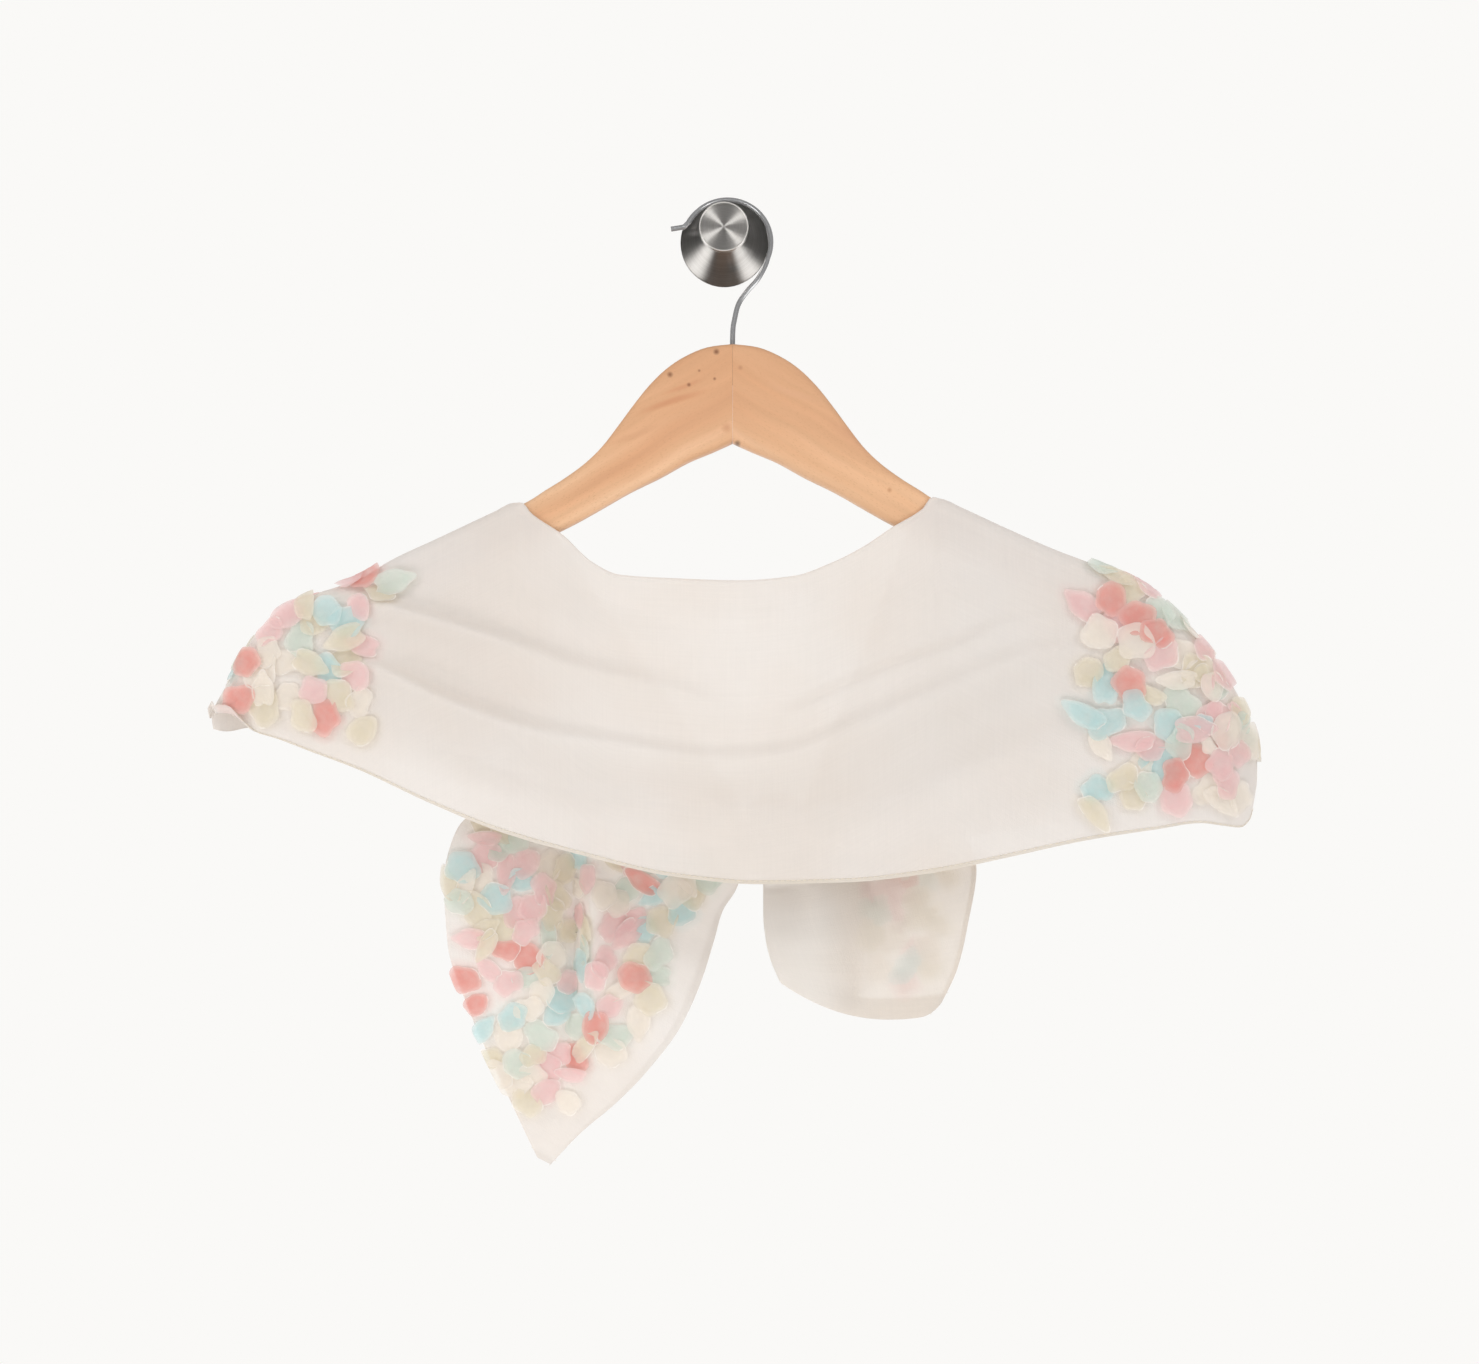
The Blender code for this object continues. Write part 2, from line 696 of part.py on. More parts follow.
def hanger_arm(name, side, frame, cutter):
    """One half of the hanger: its outline extruded to the wood's thickness, with rounded edges."""
    outline = [(max(across, 0.5 * GLUE_GAP) * side, z) for across, z in (*TOP_LINE, *END_LINE, *LOW_LINE)]
    half = 0.5 * HANGER_THICKNESS
    mesh = bmesh.new()
    corners = [mesh.verts.new(Vector((x, -half, z)) * MM) for x, z in outline]
    face = mesh.faces.new(corners)
    grown = bmesh.ops.extrude_face_region(mesh, geom=[face])
    moved = [item for item in grown["geom"] if isinstance(item, bmesh.types.BMVert)]
    bmesh.ops.translate(mesh, verts=moved, vec=Vector((0.0, HANGER_THICKNESS, 0.0)) * MM)
    bmesh.ops.recalc_face_normals(mesh, faces=mesh.faces)
    glue_x = 0.5 * GLUE_GAP * MM
    rounded = [edge for edge in mesh.edges
               if abs(edge.verts[0].co.y - edge.verts[1].co.y) < 0.1 * MM
               and max(abs(vert.co.x) for vert in edge.verts) > glue_x * 1.01]
    bmesh.ops.bevel(mesh, geom=rounded, offset=HANGER_EDGE * MM, segments=HANGER_EDGE_SEGMENTS, profile=0.5,
                    affect="EDGES", clamp_overlap=True)
    data = bpy.data.meshes.new(name)
    mesh.to_mesh(data)
    mesh.free()
    shade_smooth(data, 35)
    arm = add(name, data, BEECH)
    arm.parent = frame
    bore = arm.modifiers.new("stem_bore", "BOOLEAN")
    bore.operation = "DIFFERENCE"
    bore.object = cutter
    bore.solver = "EXACT"
    return arm


def smooth_route(points, parts):
    """Catmull-Rom curve through points of the hanger's plane."""
    padded = [points[0], *points, points[-1]]
    route = []
    for a, b, c, d in zip(padded, padded[1:], padded[2:], padded[3:]):
        for part in range(parts):
            t = part / parts
            route.append(tuple(
                0.5 * (2 * q + (r - p) * t + (2 * p - 5 * q + 4 * r - s) * t**2 + (3 * q - p - 3 * r + s) * t**3)
                for p, q, r, s in zip(a, b, c, d)))
    route.append(points[-1])
    return route


def hanger_hook(frame):
    """Bent wire: an outward tip, the loop round the knob, the swing back to the middle and the stem."""
    loop = []
    for angle in spread((HOOK_LOOP_FROM, 0), (HOOK_LOOP_TO, HOOK_LOOP_STEPS)):
        turn = math.radians(angle)
        loop.append((HOOK_LOOP_ACROSS + HOOK_LOOP_RADIUS * math.cos(turn),
                     HOOK_LOOP_Z + HOOK_LOOP_RADIUS * math.sin(turn)))
    stem_end = (0.0, TOP_LINE[0][1] - STEM_DEPTH + STEM_END_GAP)
    lead_in = smooth_route([*HOOK_TIP, loop[0], loop[1]], 3)[:-4]
    lead_out = smooth_route([loop[-2], loop[-1], *HOOK_STEM, stem_end], 3)[3:]
    curve = bpy.data.curves.new("hanger_hook", "CURVE")
    curve.dimensions = "3D"
    curve.bevel_depth = WIRE_RADIUS * MM
    curve.bevel_resolution = 3
    curve.use_fill_caps = True
    spline = curve.splines.new("POLY")
    route = [*lead_in, *loop[:-1], *lead_out]
    spline.points.add(len(route) - 1)
    for point, (across, z) in zip(spline.points, route):
        point.co = (across * MM, 0.0, z * MM, 1.0)
    hook = add("hanger_hook", curve, WIRE)
    hook.parent = frame
    return hook


def scarf_front():
    """Front stretch: a cowl from ridge to ridge with its swag folds."""
    return add("scarf_front", shell_mesh("scarf_front", front_grid(), CLOTH), CREPE)


def scarf_backs():
    """Back stretches: one on each side, from the turn to the knot."""
    left = [*reversed(turn_stations(LEFT_TURN)), *spread(*LEFT_BACK_STATIONS)]
    right = [*spread(*RIGHT_BACK_STATIONS), *turn_stations(RIGHT_TURN)]
    sides = (
        ("scarf_left_back", (LEFT_RIDGE, LEFT_SELVEDGE, LEFT_BACK_LOW, LEFT_TURN, left[-1], left)),
        ("scarf_right_back", (RIGHT_RIDGE, RIGHT_SELVEDGE, RIGHT_BACK_LOW, RIGHT_TURN, right[0], right)),
    )
    for name, shape in sides:
        columns = [list(column) for column in back_grid(*shape)]
        add(name, shell_mesh(name, columns[::-1], CLOTH), CREPE)


def scarf_knot():
    """Half knot: a sphere stretched to the size of the knot, with shallow slanting folds."""
    mesh = bmesh.new()
    bmesh.ops.create_uvsphere(mesh, u_segments=KNOT_SEGMENTS, v_segments=KNOT_RINGS, radius=1.0)
    centre_x, centre_out, centre_z = KNOT_CENTRE
    for vert in mesh.verts:
        side, front, up = vert.co.z, vert.co.y, vert.co.x
        around = math.atan2(front, up)
        wave = 1.0 + math.cos(KNOT_FOLDS * around + KNOT_FOLD_SLANT * side)
        fold = 1.0 - KNOT_FOLD_DEPTH * (1.0 - side**2) * wave
        vert.co = Vector((centre_x + KNOT_HALF[0] * side,
                          -centre_out + KNOT_HALF[1] * front * fold,
                          centre_z + KNOT_HALF[2] * up * fold)) * MM
    bmesh.ops.recalc_face_normals(mesh, faces=mesh.faces)
    data = bpy.data.meshes.new("scarf_knot")
    mesh.to_mesh(data)
    mesh.free()
    shade_smooth(data, 60)
    return add("scarf_knot", data, CREPE)


def scarf_tails():
    """The two tails: the left one shows its petal side, the right one is folded round at its left."""
    add("scarf_left_tail", shell_mesh("scarf_left_tail", left_tail_grid(), CLOTH), PETAL_CREPE)
    add("scarf_right_tail", shell_mesh("scarf_right_tail", right_tail_grid(), CLOTH), CREPE)


def build():
    """Makes every sub-part in an empty scene."""
    for old in list(bpy.data.objects):
        bpy.data.objects.remove(old, do_unlink=True)
    wall_knob()
    frame = hanger_frame()
    cutter = stem_cutter(frame)
    hanger_arm("hanger_arm_left", -1, frame, cutter)
    hanger_arm("hanger_arm_right", 1, frame, cutter)
    hanger_hook(frame)
    scarf_front()
    scarf_backs()
    scarf_knot()
    scarf_tails()


build()
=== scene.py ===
"""Looks of the oblong crepe scarf on its wooden hanger: fine cloth, petals, hems, wood and turned steel.

The frame's origin is the middle of the knob's flat back face, the wall is the plane y = 0, and the object
lies on its -Y side. Sizes are in millimetres, and MM turns them to metres where meshes are made. "Out" is
the distance from the wall, so a point at (x, out, z) is at y = -out.
"""

import random
from functools import partial
from math import atan, cos, hypot, pi, radians, sin, sqrt, tau

import bmesh
import bpy
import numpy as np
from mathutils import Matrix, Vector, noise
from mathutils.bvhtree import BVHTree


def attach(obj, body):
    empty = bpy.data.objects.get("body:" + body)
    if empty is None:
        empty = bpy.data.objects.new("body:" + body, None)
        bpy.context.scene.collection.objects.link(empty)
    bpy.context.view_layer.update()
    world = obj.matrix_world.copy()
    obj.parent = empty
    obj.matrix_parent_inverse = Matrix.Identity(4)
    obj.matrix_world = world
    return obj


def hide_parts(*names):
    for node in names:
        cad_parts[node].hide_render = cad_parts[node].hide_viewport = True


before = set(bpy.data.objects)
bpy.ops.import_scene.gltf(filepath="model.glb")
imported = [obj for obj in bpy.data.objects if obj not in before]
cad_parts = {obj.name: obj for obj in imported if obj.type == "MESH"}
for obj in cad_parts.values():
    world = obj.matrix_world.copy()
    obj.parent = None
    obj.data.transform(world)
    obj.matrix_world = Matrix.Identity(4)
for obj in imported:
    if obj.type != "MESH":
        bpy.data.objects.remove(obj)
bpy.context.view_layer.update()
MM = 0.001

# Wall knob, turned about the Y axis: out and radius at each ring of its profile, wall side first.
KNOB_PROFILE = (
    (0, 25.4), (0.8, 26), (3, 26), (4, 25.2), (20, 16.8), (36, 8.4), (39, 7.6), (42, 8.8), (44.6, 12.8),
    (46.4, 14.5), (48.8, 14.6), (50, 13.8),
)
KNOB_SIDES = 144
PROFILE_PARTS = 5
LIP_RADIUS = 0.4

# Hanger: both halves and the hook share one plane, which leans out from the wall as it goes down.
HANGER_X = 5
HANGER_OUT = 14.5
HANGER_LEAN = 6
HANGER_THICKNESS = 12
HANGER_EDGE = 4
EDGE_SEGMENTS = 7
GLUE_LINE = 0.1
ARM_OUTLINE = (
    # across from the middle, z: along the top of one arm, round its end, and back along its lower side
    (0, -64), (15, -66), (28, -71.5), (39, -79), (49, -89), (58, -100.5), (67, -113), (76, -125), (86, -135),
    (98, -144), (109, -151), (119, -157.5), (139, -167.5), (170, -182), (198, -195.5), (214, -204.5),
    (221, -209), (223.5, -215), (221, -221), (213, -222.5), (190, -213), (160, -201.5), (128, -188),
    (96, -172.5), (78, -162.5), (60, -152), (42, -143), (26, -134), (12, -128), (0, -122.5),
)

# Hook: a bent wire. The loop goes round the knob's flare, and the stem is glued into the wood.
WIRE_RADIUS = 1.5
LOOP_RADIUS = 25.6
LOOP_CENTRE = (-3.1, -1.9)
LOOP_ANGLES = (150, -22)
LOOP_STEPS = 52
BEND_PARTS = 6
HOOK_TIP = ((-36.4, 6), (-31.4, 6.8), (-28.8, 7.4), (-27.2, 8.8))
HOOK_STEM = ((19, -16.5), (14.6, -24.5), (8.6, -31.5), (3.6, -39), (1.2, -48), (0, -58), (0, -87.6))

# Where the cloth turns from the front to the back: the start of the turn and its outermost point.
LEFT_TURN = (-270, -296)
RIGHT_TURN = (282, 308)
TURN_OUT = 38

# Crest lines of the cloth: x, z, out, and how far the turn over the crest reaches sideways and down.
# A ridge lies on an arm and past its end, where front and back meet.
LEFT_RIDGE = (
    (-296, -279, 38, 2.5, 2.5), (-291, -270, 38, 5, 5), (-281, -253, 37.8, 7.5, 7.5),
    (-269, -232, 37.4, 9, 9), (-252, -217.5, 37, 8.6, 8.6), (-233, -210, 36.5, 8.2, 8.2),
    (-211, -202.2, 35.8, 7.8, 8), (-192, -190.9, 34.8, 7.8, 8), (-164, -177.6, 33.2, 7.9, 8),
    (-133, -162.8, 31.6, 8, 8), (-122, -157.8, 31.1, 8.1, 8),
)
RIGHT_RIDGE = (
    (126, -155.4, 31.1, 8.1, 8), (138, -160.6, 31.5, 8, 8), (162, -171.8, 32.6, 7.9, 8),
    (190, -184.4, 34, 7.9, 8), (222, -197, 36, 8.4, 8.4), (242, -206.5, 36.8, 9, 9),
    (258, -220, 37.2, 9.5, 9.5), (273, -236, 37.6, 10, 10), (287, -254, 38, 10, 10), (297, -270, 38, 8, 8),
    (303, -283, 38, 6, 6), (306.5, -297, 38, 4, 4), (308, -309, 38, 2.5, 2.5),
)
# The front's neckline hangs as a cowl between the arms, so its top edge joins the two ridges.
NECKLINE = (
    (-117.5, -158, 37, 2.2, 6), (-112, -164.2, 38.8, 0.9, 1.5), (-94, -176.6, 40.6, 1, 1),
    (-76, -193, 43.6, 1.2, 1.2), (-60, -200.4, 47, 1.5, 1.5), (-30, -202.6, 52, 1.6, 1.6),
    (9, -204, 54.5, 1.6, 1.6), (40, -201.4, 53, 1.6, 1.6), (62, -193.6, 48.5, 1.4, 1.4),
    (80, -184.4, 44, 1.2, 1.2), (98, -172.4, 40.8, 1, 1), (115.5, -161.6, 38.8, 0.9, 1.5),
    (121, -154.8, 37.1, 2.2, 6),
)
# The backs' upper edges run from the ridge to the knot, behind the arms.
LEFT_SELVEDGE = (
    (-116.5, -158.2, 25.4, 1.9, 6), (-111, -163.4, 23.9, 0.6, 1.5), (-100, -176, 23.7, 0.6, 0.6),
    (-70, -219, 24.2, 0.6, 0.6), (-35, -269, 26, 0.6, 0.6), (-8, -308, 28.4, 0.6, 0.6),
    (9, -333, 30, 0.6, 0.6),
)
RIGHT_SELVEDGE = (
    (47, -333, 30, 0.6, 0.6), (58, -304, 28.2, 0.6, 0.6), (76, -258, 25.8, 0.6, 0.6),
    (96, -205, 24.4, 0.6, 0.6), (108, -175, 23.7, 0.6, 0.6), (115, -161.6, 23.9, 0.6, 1.5),
    (120.5, -155, 25.4, 1.9, 6),
)
FRONT_LOW = (
    # x, z, out, belly: lower edge, and how far the cloth bows out half way down
    (-296, -288.5, 38, 0), (-288, -289.5, 42.5, 1), (-277, -289, 46, 2), (-262, -292, 49, 3),
    (-235, -301.5, 52, 4), (-208, -311.5, 54, 5), (-169, -329.5, 57, 6), (-125, -347, 60, 8),
    (-78, -360, 62, 11), (-30, -371, 63, 14), (20, -375.6, 63.5, 15), (70, -374.6, 63, 14),
    (117, -369.8, 61, 11), (160, -361.5, 58, 8), (207, -351.6, 55, 6), (247, -345.6, 52.5, 5),
    (273, -342, 51, 4), (286, -343.6, 49, 3), (297, -345, 45, 2), (303, -341, 42, 1), (308, -322, 38, 0),
)
LEFT_BACK_LOW = (
    # x, z, out: lower edges of the backs
    (-296, -288.5, 38), (-288, -290, 33), (-277, -288, 28), (-262, -289, 24), (-235, -295, 21.5),
    (-208, -303, 20.5), (-139, -327, 21.5), (-60, -350, 25.5), (-20, -360, 28), (9, -367, 30),
)
RIGHT_BACK_LOW = (
    (47, -367, 30), (70, -363, 28.4), (110, -357, 25.6), (160, -349, 22.5), (207, -342, 21), (247, -337, 22),
    (273, -335, 25), (286, -337, 28.5), (297, -338.5, 32), (303, -335, 35), (308, -322, 38),
)
# Each back by its side: ridge, upper edge, lower edge, turn and the x of its end at the knot.
BACKS = {
    -1: (LEFT_RIDGE, LEFT_SELVEDGE, LEFT_BACK_LOW, LEFT_TURN, LEFT_SELVEDGE[-1][0]),
    1: (RIGHT_RIDGE, RIGHT_SELVEDGE, RIGHT_BACK_LOW, RIGHT_TURN, RIGHT_SELVEDGE[0][0]),
}
# The backs are gathered towards the knot: a few large folds and finer pleats on them.
GATHER_WAVES = 2.5
GATHER_HEIGHT = 3
GATHER_REACH = 150
PLEAT_WAVES = 5
PLEAT_HEIGHT = 1.1

# Two swags of the front and the trough under them. Each line runs from turn to turn: x, z, how far the cloth
# stands out there (a trough is negative) and how far that spreads.
FRONT_SWAGS = (
    (
        (-296, -281.5, 0, 4), (-270, -250, 0, 6), (-235, -225, 0, 7), (-214, -213, 1.5, 7),
        (-200, -216, 4.5, 7), (-168, -224, 5.5, 8), (-130, -237, 5.5, 9), (-85, -253, 4.5, 11),
        (-24, -268, 2.5, 13), (5, -277, 0.5, 12), (35, -279, -1.5, 10), (77, -262, -2.5, 10),
        (134, -241, -2.5, 10), (170, -226, -1.5, 9), (222, -222, 0, 9), (258, -243, 0, 9), (287, -276, 0, 9),
        (308, -312, 0, 4),
    ),
    (
        (-296, -284, 0, 4), (-270, -266, 0, 7), (-235, -254, 0, 8), (-200, -254, 4, 8), (-161, -271, 6, 9),
        (-115, -287, 6.5, 9), (-60, -297, 6, 10), (0, -305, 6, 11), (35, -303, 6, 11), (75, -288, 6.5, 12),
        (113, -272, 6, 12), (150, -256, 5, 12), (185, -244, 3, 11), (222, -248, 0, 10), (258, -270, 0, 9),
        (287, -298, 0, 9), (308, -315, 0, 4),
    ),
    (
        (-296, -286, 0, 4), (-270, -279, 0, 8), (-235, -280, 0, 9), (-200, -286, -1.5, 10),
        (-160, -299, -3, 11), (-102, -318, -4, 12), (-50, -329, -4, 13), (0, -336, -4, 13),
        (73, -334, -4.5, 14), (117, -320, -4, 13), (160, -304, -3, 12), (207, -296, -1.5, 11),
        (258, -306, 0, 10), (287, -320, 0, 9), (308, -318, 0, 4),
    ),
)
# A swag is steep on its upper side and long on its lower side.
SWAG_GAIN = 1.25
SWAG_LEAN = (0.55, 1.7)

# Creases of the front, each a soft ridge or trough on a bent line through three places.
FRONT_CREASES = (
    # x, z at the start, at the middle, at the end; height (a trough is negative), reach above, reach below
    (-214, -211, -170, -224, -100, -243, 2.6, 1.8, 7), (-206, -247, -166, -267, -100, -291, 2.6, 1.8, 8),
    (-208, -238, -160, -255, -95, -276, -1.6, 7, 3), (-140, -206, -90, -226, -30, -240, 0.9, 7, 7),
    (-104, -190, -60, -218, 5, -228, -0.9, 6, 6), (-60, -214, 0, -226, 60, -212, 0.8, 5, 6),
    (-110, -302, -40, -322, 30, -326, -1, 6, 8), (20, -306, 75, -282, 150, -246, 1.4, 4, 6),
    (35, -282, 80, -258, 150, -234, -1.6, 4, 3), (60, -236, 110, -214, 160, -196, 1, 6, 7),
    (90, -200, 140, -196, 185, -200, -0.7, 6, 6), (150, -250, 200, -262, 262, -292, 1.1, 5, 8),
    (140, -300, 200, -286, 270, -300, -0.9, 8, 8), (-280, -262, -240, -262, -200, -270, 1.3, 5, 6),
    (-285, -276, -240, -286, -180, -300, -0.8, 5, 5), (-22, -336, -20, -352, -24, -370, 0.45, 9, 9),
)
CREASE_STEPS = 161
# Where the left end's lower edge curls up: x where it does so fully and not at all, its length and radius.
NOSE_CURL = (-286, -264, 13, 3.2)

# Half knot: a lump of crossed layers, and the strand that is wound over it.
KNOT_CENTRE = (28, 25, -350)
KNOT_HALF = (18.4, 17, 23.5)
KNOT_STEPS = (60, 120)
KNOT_SLANT = 2.5
KNOT_PLEATS = 9
KNOT_PLEAT_DEPTH = 0.07
STRAND_STEPS = (96, 40)
STRAND_PLEATS = 11
STRAND_TILT = 34
STRAND_HALF = (9, 3.2)
STRAND_REACH = (21.5, 15)

# Left tail: ends of each section, from the knot to the corner that hangs lowest, and how far out it lies.
LEFT_TAIL = (
    # left_x, left_z, right_x, right_z, out
    (14.4, -338, 14.4, -362, 13), (-28, -326, 7, -384, 11.5), (-84, -324, -1, -397, 11.5),
    (-130, -331, -6, -414, 14), (-156, -346, -13, -436, 20), (-164, -378, -26, -464, 24),
    (-162, -414, -44, -488, 24), (-149, -456, -63, -508, 22), (-130, -498, -84, -526, 20),
    (-110, -541, -102, -545, 18),
)
# Its pleat: height, x and half width of the valley, of the crest and of a groove along the valley, how far
# the crest leans over the valley, and how strong the pleat is at each height from the tip up.
TAIL_VALLEY = (9, -90, 10)
TAIL_CREST = (5, -72, 8)
TAIL_GROOVE = (2.5, -88, 3.5)
TAIL_LEAN = 4
TAIL_FADE = ((-490, -430, -375, -345), (0, 1, 1, 0))

# Right tail: its left side is folded round behind, so each section is a hook shape.
RIGHT_TAIL = (
    # left_x, left_z, right_x, right_z, bow, turn, out
    (24, -373, 50, -344.5, 11, 3, 16.4), (22.5, -381, 92, -338, 10, 9, 15),
    (22.5, -388, 136, -346, 6, 13, 17.5), (22.5, -400, 148, -371, 3, 12, 21.5),
    (24, -415, 143, -402, 3, 9, 24), (27, -427, 137, -428, 5, 6, 24), (31, -436, 124, -456, 11, 3, 24),
)
# Rows of its far layer, its turn and its near layer, and the share of the far layer that they reach to.
TAIL_STEPS = (34, 26, 81)
TAIL_FAR_END = 0.985
TAIL_TURN_DEPTH = 8
TAIL_FAR_SHARE = 0.5
TAIL_FAR_LIFT = 5
TAIL_FAR_SINK = 0.4
TAIL_NEAR_RISE = 0.6
TAIL_RIPPLE = 2
TAIL_CORNER = 9
# Soft folds of its near layer, which run down and die out: x, height, half width, top and foot.
TAIL_FOLDS = ((54, 4, 11, -352, -430), (92, -8, 13, -356, -412), (116, 2, 10, -350, -420))

# Slow unevenness of the front, the backs by their side and the tails: size, height and seed of each wave.
RIPPLES = {
    "front": ((70, 1.6, 1), (26, 0.45, 2)), -1: ((60, 1.2, 2), (24, 0.4, 5)), 1: ((60, 1.2, 4), (24, 0.4, 7)),
    "left_tail": ((46, 2.4, 9), (20, 0.7, 10)), "right_tail": ((40, 1, 12), (18, 0.35, 13)),
}

# Fine cloth: thickness of the shells, where they lie in the walls of the solids, and how finely they are cut.
SHELL = 0.5
SHELL_LIFT = 0.35
FRONT_COLUMNS = 300
TURN_COLUMNS = 16
BACK_COLUMNS = 150
ROLL_ROWS = 8
MAIN_ROWS = 92
TAIL_SECTIONS = 150
TAIL_ROWS = 110
# The front and the back are one cloth over the crest and round the turns: there they lap by a hair.
CREST_LAP = 0.03

# The cut is one oblong. Each stretch: its part of the cut in metres, how it is held, what it rests on, and
# the width of its hem at the side and at the end.
CUT_WIDTH = 0.19
STRETCHES = {
    "front": (CUT_WIDTH, 0.64, "draped", ["beech_arm_left", "beech_arm_right"], 1.8, 0),
    "left_back": (0.155, 0.31, "gathered", ["knot_lump"], 1.8, 0),
    "right_back": (0.155, 0.31, "gathered", ["knot_lump"], 1.8, 0),
    "left_tail": (0.165, 0.24, "hung", ["knot_lump"], 3, 3),
    "right_tail": (CUT_WIDTH, 0.12, "hung", ["knot_lump"], 3, 8.5),
}
HEM_THICKNESS = 0.4
HEM_LIFT = 0.02
HEM_STOPS = 3
STITCH_LIFT = 0.45
STITCH_LENGTH = 2.4
STITCH_PITCH = 3.1
STITCH_RADIUS = 0.16

# Petals: each cut's lobes, lobe depth, cup, bend and stretch. So it is scalloped, cupped, folded, drawn out.
PETAL_KINDS = (
    (5, 0.05, 0.03, 0.02, 1), (5, 0.07, 0.04, -0.02, 1.25), (4, 0.06, 0.02, 0.03, 1.35),
    (6, 0.04, 0.03, 0.03, 1.05), (3, 0.06, 0.03, 0.09, 1.75), (5, 0.05, 0.02, -0.02, 1.15),
    (4, 0.07, 0.03, 0.03, 0.95), (5, 0.06, 0.03, 0.01, 1.2), (3, 0.06, 0.03, 0.12, 2.1),
)
PETAL_RINGS = (0.55, 0.88, 1)
PETAL_SPOKES = 28
PETAL_RADIUS = 11
PETAL_WAVE = 0.02
PETAL_SEED = 11
# Where the sewn ends begin on the left and right, how far petals keep from a hem, how near and far they lie
# from the cloth, how high they are sown, and what they keep free of the wall.
PETALS_START = (-202, 209)
PETAL_MARGIN = 12
PETAL_REST = 0.5
PETAL_REACH = 3.2
PETAL_LIFT = 2.8
PETAL_CLEAR = 0.3
# Where none are sewn: on the edge of the left end, on the tip of the left tail and at the foot of the right
# turn, each fading between two places. Near the left ridge they start further in: how far, and the heights.
BARE_EDGE = (-285, -279)
BARE_TIP = (-514, -508)
BARE_FOOT = (-302, -296)
RIDGE_START = (15, -222, -208)
# The part of each tail's width that they are sewn on.
SEWN_WIDTH = {"left_tail": (0.005, 0.89), "right_tail": (0.68, 0.93)}
# Smallest size, spacing, tilt and how far the tint starts from the first dye: on the collar, the tails and
# the right side turn. The largest is SIZE_SPREAD times that, and so many are tried on each square metre.
COLLAR_PETALS = (0.73, 9.7, 0.04, 0.0)
TAIL_PETALS = (0.66, 9.4, 0.10, 0.06)
TURN_PETALS = (0.42, 7.0, 0.04, 0.0)
SIZE_SPREAD = 1.4
PETALS_TRIED = 16000.0
# Painted show-through: how strongly the dye of a petal is painted into the colour of the cloth that lies on
# it, in place of light coming through, and how near it has to lie.
PETAL_SHOWS = 0.16
SHOWS_WITHIN = (1.5, 6)
# The six dyes of the petals: where each begins in a petal's tint, and its colour.
DYES = ((0, "#F3ADA3"), (0.17, "#F9D7D6"), (0.36, "#D2ECEC"), (0.49, "#F0E8D3"), (0.70, "#E3EDE3"),
        (0.81, "#FBF4E9"))

# Crepe: how much of it is gaps, and how much of its light comes through from behind.
CREPE_SHEER = 0.20
CREPE_GLOW = 0.20
THREAD_SPACING = 1.1
# On the right tail that is more where the cloth is single, past the first x, than where two layers lie
# together, before the second.
SINGLE_GLOW = 0.38
DOUBLE_GLOW = 0.12
DOUBLE_CLOTH = (78, 50)

# Marks in the wood of each half, -1 left and 1 right.
GRAIN_TILT = 32
WOOD_KNOTS = {
    # x, z, size, colour of pin knots and stains, and of the nick at the foot of the glue line
    -1: ((-4.5, -68.5, 1.5, "#6B3F28"), (-31.5, -82, 1.4, "#7A4A30"), (-20.5, -88, 1, "#7A4A30"),
          (-5.5, -84.5, 0.8, "#8A5638"), (-14.5, -79.7, 0.7, "#9A6444"), (1.5, -113.5, 2.4, "#CF9672"),
          (5.8, -122.5, 1.5, "#6B5140")),
    1: ((7.8, -122.5, 1.5, "#6B5140"), (9.5, -78, 1.2, "#C08A66"), (96, -150, 1.2, "#C58A64")),
}
STREAKS = {
    # x, z at both ends, half width, colour of darker streaks along the grain
    -1: ((-54, -101, -6, -83, 3.2, "#C8845C"), (-38, -88, -10, -76, 2.2, "#CF8F68"),
          (-70, -118, -34, -106, 2.6, "#D29B76")),
    1: ((55, -100, 96, -128, 5, "#D59F7A"), (20, -78, 60, -94, 3, "#DBA984")),
}

CAMERA_DISTANCE = 1300
CAMERA_X = 9
CAMERA_Z = -261.3
VIEW_WIDTH = 882.2
SENSOR_WIDTH = 36
FLOOR_Z = -1700
FLOOR_HALF = 1000

# Soft boxes: place and size in millimetres, and power in watts. All of them face one place on the scarf.
LIGHTS = (
    # name, x, out, z, width, height, power
    ("key_left", -1300, 800, 750, 600, 600, 5.9),
    ("fill_right", 1300, 800, 650, 600, 600, 6),
    ("top_strip", 0, 400, 1000, 1200, 400, 1.2),
    ("low_front", 150, 1200, -1100, 900, 400, 4.6),
    ("low_left", -900, 700, -800, 400, 400, 2.4),
    ("back_left", -1100, -900, 200, 800, 800, 3.2),
    ("back_right", 1100, -900, 100, 800, 800, 3.2),
)
AIM = (0, 30, -250)
WALL_COLOUR = "#FAF9F7"
AMBIENT = 0.69

# What bright metal mirrors: dim all round, a pale room straight in front, and two lamps low on each side.
DIM_SHINE = 0.07
ROOM_SHINE = 0.25
EYE_RISE = 0.2
SHINE = (
    # angle round the view from the right hand side, half spread, strength at the side, strength in front
    (-38, 26, 1.6, 0), (-149, 26, 1.6, 0), (-43, 14, 0, 4.8), (-151, 14, 0, 4.8),
)


